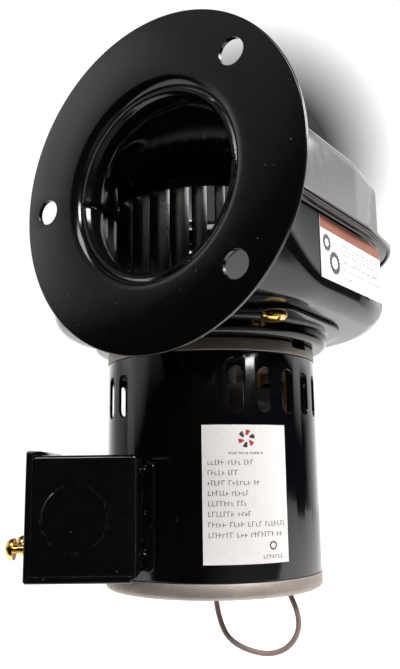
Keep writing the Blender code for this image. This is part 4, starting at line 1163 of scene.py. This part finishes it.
@dataclass
class JunctionBox:
    """The box welded to the motor, with a knockout and a two sided cover."""

    left: float = -59.8
    right: float = -25.0
    front: float = -57.0
    back: float = -20.0
    bottom: float = -120.5
    top: float = -81.3
    sheet: float = 1.2
    cover_lip: float = 2.4
    weld_direction: float = -122.6
    knockout: tuple[float, float] = (-45.2, -101.8)
    knockout_r: float = 11.1
    screw_places: tuple[tuple[float, float], ...] = ((-51.0, -111.6), (-37.5, -111.6))

    def block(self, name: str, low: Point, high: Point) -> bpy.types.Object:
        """A block between two corners, square to the box."""
        return Shape().box(low, high).done(name, BOX_PLACE)

    def folded(self, name: str, low: Point, high: Point, radius: float) -> bpy.types.Object:
        """A block with rounded edges, as sheet is where it folds."""
        return softened(self.block(name, low, high), radius, 4)

    def shell_clearance(self) -> bpy.types.Object:
        """What keeps the box off the motor's shell."""
        return plug(SHELL_R + GAP, -135, -65, 240).done("clear")

    def screw_holes(self, radius: float, sides: int) -> bpy.types.Object:
        """A rod through the left side at each screw."""
        holes = Shape()
        for y, height in self.screw_places:
            holes.rod((self.left - 5, y, height), (self.left + 3, y, height), radius, sides)
        return holes.done("holes", BOX_PLACE)

    def tab(self) -> bpy.types.Object:
        """The tab that lies along the shell, bent to its curve."""
        half_tall, half_wide = 19.1, 2.9
        corner = rounded(half_tall, half_wide, 2.4, 8)
        middle = Matrix.Rotation(radians(35.0 + self.weld_direction), 4, "Z")
        rings = []
        edge = ((0.0, -0.3), (0.0, self.sheet - 0.35), (0.12, self.sheet - 0.1), (0.35, self.sheet))
        for inset, grow in edge:
            radius = SHELL_R + GAP + grow
            ring = []
            for x, y in corner:
                along, turn = x * (1 - inset / half_tall), y * (1 - inset / half_wide) / radius
                ring.append(SHAFT + middle @ Vector((radius * cos(turn), radius * sin(turn), along - 102.3)))
            rings.append(ring)
        return Shape().walled(rings).done("tab")

    def body(self) -> None:
        """The box itself, with the tab that is spot welded to the shell."""
        sheet = self.sheet
        left, front, bottom = self.left, self.front, self.bottom
        right, back, top = self.right, self.back, self.top
        box = self.folded("wiring_box_body", (left - 8, front, bottom - 8), (right, back, top), 1.3)
        beyond = (left - 12, front - 5, bottom - 12)
        side = self.block("side", beyond, (left, 5, top + 5))
        under = self.block("under", beyond, (right + 5, 5, bottom))
        inside = self.folded(
            "inside", (left - 9, front + sheet, bottom - 9), (right - sheet, back - sheet, top - sheet), 0.5
        )
        worked(box, Cut.AWAY, side, under, inside)
        tab = self.tab()
        ear = self.folded("ear", (left, front + 0.4, -116.0), (left + sheet, -33.0, -107.0), 0.3)
        worked(box, Cut.JOINED, tab, ear)
        x, z = self.knockout
        facing = BOX_PLACE @ Matrix.Translation((x, 0, z)) @ Matrix.Rotation(radians(90), 4, "X")
        groove = Shape()
        for start, end, steps in ((-68.0, 232.0, 72), (247.0, 277.0, 8)):
            ring = sector(self.knockout_r - 0.32, self.knockout_r, start, end, steps)
            groove.loft([(ring, -self.front - 3), (ring, -self.front + 2)], facing)
        welds = Shape()
        along = BOX_PLACE @ Matrix.Rotation(radians(self.weld_direction), 4, "Z")
        for height, tall in ((-85.5, 1.2), (-101.0, 1.0), (-114.5, 1.5)):
            place = along @ Matrix.Translation((SHELL_R + GAP + sheet + 0.55, 0, height))
            bmesh.ops.create_uvsphere(welds.mesh, u_segments=24, v_segments=12, radius=tall, matrix=place)
        holes = self.screw_holes(1.7, 24)
        worked(box, Cut.AWAY, groove.done("groove"), holes, welds.done("welds"), self.shell_clearance())
        dressed(box, BOX_BLACK, Body.FRAME, "junction_box", sharp=40)

    def cover(self) -> None:
        """The cover over the box's left side and bottom."""
        sheet = self.sheet
        left, bottom = self.left - GAP - sheet, self.bottom - GAP - sheet
        top, front = self.top + GAP + sheet, self.front - GAP - sheet
        lip = self.cover_lip
        far = (self.right - 1.2, self.back + 3, top)
        cover = self.folded("wiring_box_cover", (left, front, bottom), far, 0.9)
        hollow = (self.left - GAP, self.front - GAP, self.bottom - GAP)
        inner = self.block("inner", hollow, (0, 0, self.top + GAP))
        opening = self.block("opening", (left + lip, front - 5, bottom + lip), (0, self.front + 2, top + 5))
        lid = self.block("lid", (left + lip + 1.6, front - 5, self.top - 1), (0, 0, top + 5))
        rear = self.block("rear", (left - 5, self.back, bottom - 5), (0, 5, top + 5))
        slant = BOX_PLACE @ Matrix.Translation((left + 0.3, front, bottom + 0.3))
        slant = slant @ Matrix.Rotation(radians(-45), 4, "Y")
        corner = Shape().box((-0.5, -4.0, -0.09), (4.2, sheet + 0.6, 0.09)).done("mitre", slant)
        holes = self.screw_holes(1.9, 32)
        worked(cover, Cut.AWAY, inner, opening, lid, rear, corner, holes, self.shell_clearance())
        dressed(softened(cover, 0.1, 2, 50), BOX_BLACK, Body.FRAME, "junction_cover", sharp=40)
        direction = BOX_PLACE.to_3x3() @ Vector((1, 0, 0))
        for name, (y, height) in zip(("front", "rear"), self.screw_places):
            seat = BOX_PLACE @ Vector((left - 4.6, y, height))
            spun = aimed(seat, direction) @ Matrix.Rotation(radians(y), 4, "Z")
            screw = PanScrew(head_r=3.6, head_h=2.7, shank_r=1.4, length=9.5, pitch=0.7, slotted=True)
            screw = screw.solid(f"cover_pan_screw_{name}", spun)
            dressed(screw, YELLOW_ZINC, Body.FRAME, f"cover_screw_{name}", sharp=30)

    def build(self) -> None:
        """Makes the box and its cover."""
        self.body()
        self.cover()


@dataclass
class FreeLead:
    """The lead that loops out of the motor and back in."""

    route: ClassVar[tuple[Point, ...]] = (
        (0.6, -14.0, -128.0), (0.7, -14.1, -134.0), (2.0, -14.4, -140.6), (4.4, -14.8, -146.0),
        (8.6, -15.2, -149.6), (14.6, -15.6, -151.9), (20.2, -15.7, -152.5), (25.2, -15.5, -151.2),
        (29.0, -15.0, -148.0), (30.9, -14.4, -143.6), (30.6, -13.8, -138.6), (28.8, -13.4, -133.6),
        (26.6, -13.2, -128.0),
    )
    diameter: float = 2.0

    def points(self, spacing: float) -> list[Vector]:
        """Points this far apart on a smooth curve through the route."""
        knots = [Vector(p) for p in self.route]
        knots = [2 * knots[0] - knots[1], *knots, 2 * knots[-1] - knots[-2]]
        found = []
        for a, b, c, d in zip(knots, knots[1:], knots[2:], knots[3:]):
            count = max(1, round((c - b).length / spacing))
            square, cube = 2 * a - 5 * b + 4 * c - d, 3 * b - a - 3 * c + d
            for t in (i / count for i in range(count)):
                found.append(0.5 * (2 * b + (c - a) * t + square * t**2 + cube * t**3))
        return [BOX_PLACE @ p * MM for p in (*found, knots[-2])]

    def build(self) -> None:
        points = self.points(2.6)
        curve = bpy.data.curves.new("motor_lead", "CURVE")
        curve.dimensions = "3D"
        curve.bevel_depth = self.diameter / 2 * MM
        curve.bevel_resolution = 6
        curve.use_fill_caps = True
        spline = curve.splines.new("BEZIER")
        spline.bezier_points.add(len(points) - 1)
        for knot, point in zip(spline.bezier_points, points):
            knot.co = point
            knot.handle_left_type = knot.handle_right_type = "AUTO"
        lead = bpy.data.objects.new("motor_lead", curve)
        bpy.context.scene.collection.objects.link(lead)
        curve.materials.append(LEAD_SLEEVE.material())
        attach(lead, Body.FRAME.value)
        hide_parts("lead_loop")


# ------------------------------------------------------------------ labels


PAPER_LIFTS = (0.12, 0.32)
INK_LIFTS = (0.32, 0.36)


@dataclass
class Label:
    """A sheet stuck to a surface, with its print as thin raised ink."""

    name: str
    width: float
    height: float
    put: Callable[[float, float, float], Vector]

    def slab(
        self, shape: Shape, left: float, right: float, low: float, high: float,
        lifts: tuple[float, float] = INK_LIFTS,
    ) -> None:
        """Adds a slab of paper or ink, bent to follow the surface.

        Args:
            shape: What the slab is added to.
            left: Its left side, from the label's lower left corner.
            right: Its right side.
            low: Its lower edge.
            high: Its upper edge.
            lifts: How far its back and its face stand off the surface.
        """
        columns = max(1, round(right - left))
        across = [left + (right - left) * i / columns for i in range(columns + 1)]
        edges = [(v, lift) for lift in lifts for v in (low, high)]
        rows = [[shape.mesh.verts.new(self.put(u, v, lift)) for u in across] for v, lift in edges]
        back_low, back_high, face_low, face_high = rows
        sides = ((back_low, back_high), (face_high, face_low), (face_low, back_low), (back_high, face_high))
        for i in range(columns):
            for one, two in sides:
                shape.mesh.faces.new((one[i], one[i + 1], two[i + 1], two[i]))
        for i in (0, columns):
            shape.mesh.faces.new((back_low[i], back_high[i], face_high[i], face_low[i]))

    def outline(self, shape: Shape, corners: Outline) -> None:
        """Adds a small flat figure in ink."""
        shape.walled([[self.put(u, v, lift) for u, v in corners] for lift in INK_LIFTS])

    def marks(self, shape: Shape, left: float, right: float, low: float, tall: float, seed: int) -> None:
        """Adds a row of short upright marks, grouped as words are."""
        dice = random.Random(seed)
        at = left
        in_group = dice.randint(4, 7)
        while at < right - 0.5:
            wide = dice.uniform(0.4, 0.66) * tall
            drop = dice.choice((0.0, 0.0, 0.25)) * tall
            stroke = max(0.13 * tall, 0.22)
            self.slab(shape, at, at + stroke, low, low + tall - drop)
            bar = low + dice.choice((0.0, 0.45, 0.9)) * (tall - drop)
            self.slab(shape, at + stroke + 0.01, min(at + wide, right), bar, bar + 0.1 * tall)
            in_group -= 1
            at += wide + 0.22 * tall
            if in_group == 0:
                at += 0.6 * tall
                in_group = dice.randint(3, 7)

    def paper(self) -> None:
        """The sheet itself."""
        shape = Shape()
        self.slab(shape, 0, self.width, 0, self.height, PAPER_LIFTS)
        dressed(shape.done(f"{self.name}_sheet"), LABEL_PAPER, Body.FRAME, self.name, sharp=30)

    def ink(self, kind: str, finish: Finish, shape: Shape) -> None:
        """Finishes one colour of print."""
        piece = dressed(shape.done(f"{self.name}_{kind}"), finish, Body.FRAME, sharp=30)


def on_shell(u: float, v: float, lift: float) -> Vector:
    """A place on the rating label, from its lower left corner."""
    start, reach = radians(35.0 - 94.9), u / (SHELL_R + PAPER_LIFTS[1])
    radius = SHELL_R + lift
    return SHAFT + Vector((radius * cos(start + reach), radius * sin(start + reach), -118.4 + v))


def on_wall(u: float, v: float, lift: float) -> Vector:
    """A place on the caution label, from its lower left corner."""
    return Vector((LABEL_WALL_X + lift, 51.0 + u, -24.6 + v))


def ring_figure(centre: Point, outer: float, inner: float, teeth: int) -> list[list[tuple[float, float]]]:
    """A toothed ring as two halves, which have no hole of their own."""
    halves = []
    for start in (0, 180):
        rim = []
        for i in range(teeth * 2 + 1):
            angle = radians(start + 180 * i / (teeth * 2))
            radius = outer if i % 2 else outer * 0.84
            rim.append((centre[0] + radius * cos(angle), centre[1] + radius * sin(angle)))
        halves.append(rim + arc(centre, inner, start + 180, start, 12))
    return halves


def build_rating_label() -> None:
    """The white plate on the shell, with a plain fan emblem and rows of marks."""
    label = Label("rating_label", radians(43.4) * (SHELL_R + PAPER_LIFTS[1]), 47.5, on_shell)
    label.paper()
    red, dark = Shape(), Shape()
    centre = (label.width / 2, 42.6)
    petals = 6
    for i in range(petals):
        turn = 360 / petals * i
        petal = arc(centre, 3.1, turn, turn + 34, 5) + arc(centre, 1.2, turn + 46, turn + 14, 4)
        label.outline(red if i % 2 else dark, petal)
    label.marks(dark, 9.5, 22.5, 37.2, 0.8, 3)
    left, first, spacing = 2.0, 33.6, 3.52
    for i, right in enumerate((18.5, 13.8, 20.5, 16.2, 15.4, 17.8, 30.4, 29.4)):
        label.marks(dark, left, right, first - spacing * i, 1.7, 20 + i)
    for half in ring_figure((25.4, 5.9), 1.6, 1.0, 5):
        label.outline(dark, half)
    label.marks(dark, 21.4, 30.2, 1.6, 1.6, 40)
    label.ink("dark_print", DARK_INK, dark)
    label.ink("red_print", RED_INK, red)


def build_caution_label() -> None:
    """The small label on the scroll, with an orange head, a gear sign and rows of marks."""
    label = Label("caution_label", 50.5, 21.8, on_wall)
    label.paper()
    orange, dark = Shape(), Shape()
    edge, column, column_end = 0.15, 17.4, 48.6
    label.slab(orange, edge, label.width - edge, 17.2, label.height - edge)
    for half in (*ring_figure((4.6, 12.8), 3.2, 1.4, 7), *ring_figure((10.2, 6.8), 4.3, 2.2, 9)):
        label.outline(dark, half)
    label.slab(dark, 15.9, 16.15, 0.8, 16.8)
    for i in range(5):
        label.marks(dark, column, column_end if i < 4 else 26.0, 13.9 - 2.85 * i, 1.25, 60 + i)
    label.slab(dark, column, 47.0, 13.0, 13.18)
    label.ink("orange_print", ORANGE_INK, orange)
    label.ink("dark_print", DARK_INK, dark)


# ------------------------------------------------------------------ stage


@dataclass
class Stage:
    """The floor, the surroundings, the soft lights and the camera.

    A glow is a direction, the cosines at which it is full and at which it ends, and its
    strength. The shadow's cosines are where it begins and where it is deepest.
    """

    camera_at: tuple[float, float, float] = (0.1362, -0.1630, -0.0889)
    looks_along: tuple[float, float, float] = (-0.5773, 0.7939, 0.1908)
    roll: float = -0.73
    lens: float = 39.68
    floor_height: float = -260.0
    floor_corners: tuple[tuple[float, float], ...] = ((-1500, -115), (900, -115), (900, 6000), (-1500, 6000))
    straight_behind: tuple[float, float, float] = (-0.5, 0.866, 0.0)
    shadow_towards: tuple[float, float, float] = (-0.472, 0.784, 0.403)
    shadow_cosines: tuple[float, float] = (0.9845, 0.9955)
    backdrop_levels: tuple[float, float] = (1.05, 0.06)
    glows: tuple[tuple[tuple[float, float, float], float, float, float], ...] = (
        ((-0.80, -0.44, 0.42), 0.985, 0.92, 0.8),
        ((-0.42, -0.62, 0.66), 0.99, 0.91, 0.3),
        ((-0.95, 0.05, 0.25), 0.97, 0.80, 0.5),
        ((0.40, 0.78, 0.48), 0.985, 0.90, 1.5),
        ((0.60, -0.10, -0.79), 0.98, 0.70, 0.35),
    )

    def camera(self) -> None:
        """Sets the camera."""
        data = bpy.data.cameras.new("camera")
        data.lens = self.lens
        data.sensor_width = 36.0
        data.shift_x, data.shift_y = 0.0042, -0.0012
        data.clip_start, data.clip_end = 0.01, 50.0
        ahead = Vector(self.looks_along).normalized()
        level = ahead.cross(Vector((0, 0, 1))).normalized()
        rise = level.cross(ahead)
        turn = radians(self.roll)
        right = cos(turn) * level + sin(turn) * rise
        up = -sin(turn) * level + cos(turn) * rise
        obj = bpy.data.objects.new("camera", data)
        facing = Matrix((right, up, -ahead)).transposed().to_4x4()
        obj.matrix_world = Matrix.Translation(self.camera_at) @ facing
        bpy.context.scene.collection.objects.link(obj)
        bpy.context.scene.camera = obj

    def floor(self) -> None:
        """A pale floor well below the fan, which ends in front so that the motor doesn't mirror it."""
        shape = Shape()
        shape.mesh.faces.new([shape.mesh.verts.new((x, y, self.floor_height)) for x, y in self.floor_corners])
        floor = shape.done("floor", SHAFT_PLACE @ Matrix.Rotation(radians(36.0), 4, "Z"))
        material = bpy.data.materials.new("pale_floor")
        material.use_nodes = True
        shader = material.node_tree.nodes["Principled BSDF"].inputs
        shader["Base Color"].default_value = (0.93, 0.93, 0.93, 1.0)
        shader["Roughness"].default_value = 0.9
        shader["Emission Color"].default_value = (1.0, 1.0, 1.0, 1.0)
        shader["Emission Strength"].default_value = 0.8
        floor.data.materials.append(material)

    def light(self, name: str, at: Point, size: tuple[float, float], power: float, aim: Point) -> None:
        """Adds one soft rectangular light that faces a point on the fan."""
        data = bpy.data.lights.new(name, "AREA")
        data.shape = "RECTANGLE"
        data.size, data.size_y = size
        data.energy = power
        obj = bpy.data.objects.new(name, data)
        obj.matrix_world = aimed(Vector(at), Vector(at) - Vector(aim))
        bpy.context.scene.collection.objects.link(obj)

    def sky(self) -> None:
        """Soft glows for the fan to mirror, and a white backdrop with the fan's own shade on it."""
        world = bpy.data.worlds.new("studio")
        bpy.context.scene.world = world
        world.use_nodes = True
        wiring = Wiring(world.node_tree)
        direction = wiring.add("ShaderNodeTexCoord").outputs["Generated"]
        level = wiring.span(wiring.towards(direction, self.straight_behind), 0.55, 0.9, 0.0, 1.5)
        for towards, full, ends, strength in self.glows:
            facing = wiring.towards(direction, Vector(towards).normalized())
            level = wiring.sum("ADD", level, wiring.span(facing, ends, full, 0.0, strength))
        facing = wiring.towards(direction, Vector(self.shadow_towards).normalized())
        backdrop = wiring.span(facing, *self.shadow_cosines, *self.backdrop_levels)
        seen = wiring.add("ShaderNodeLightPath").outputs["Is Camera Ray"]
        brightness = wiring.add("ShaderNodeMix", {0: seen, 2: level, 3: backdrop}).outputs[0]
        background = world.node_tree.nodes["Background"]
        background.inputs["Color"].default_value = (1.0, 0.99, 0.985, 1.0)
        wiring.feed(background.inputs["Strength"], brightness)

    def build(self) -> None:
        """Sets the whole stage."""
        self.camera()
        self.floor()
        self.sky()
        self.light("top_softbox", (0.25, -0.6, 0.75), (0.6, 0.4), 6.0, (-0.03, 0.08, -0.06))
        self.light("label_card", (0.42, -0.09, 0.25), (0.26, 0.15), 3.4, (0.0, 0.05, -0.09))
        self.light("side_card", (0.30, 0.42, 0.31), (0.16, 0.26), 1.1, (0.03, 0.07, 0.015))
        bpy.context.scene.view_settings.view_transform = "Standard"


def dress_carried_nodes(nodes: dict[str, bpy.types.Object]) -> None:
    """Gives each CAD node that stays its finish."""
    for finish, names in CARRIED_NODES.items():
        for name in names:
            nodes[name].data.materials.clear()
            nodes[name].data.materials.append(finish.material())


def main() -> None:
    """Builds the fan round its frame."""
    logging.basicConfig(level=logging.INFO, format="%(name)s: %(message)s")
    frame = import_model()
    Stage().build()
    FreeLead().build()
    Scroll().build()
    Flange().build()
    Adapter().build()
    build_plate_screws()
    MotorCase().build()
    BlowerWheel().build()
    JunctionBox().build()
    build_rating_label()
    build_caution_label()
    dress_carried_nodes(frame["nodes"])


if __name__ == "__main__":
    main()
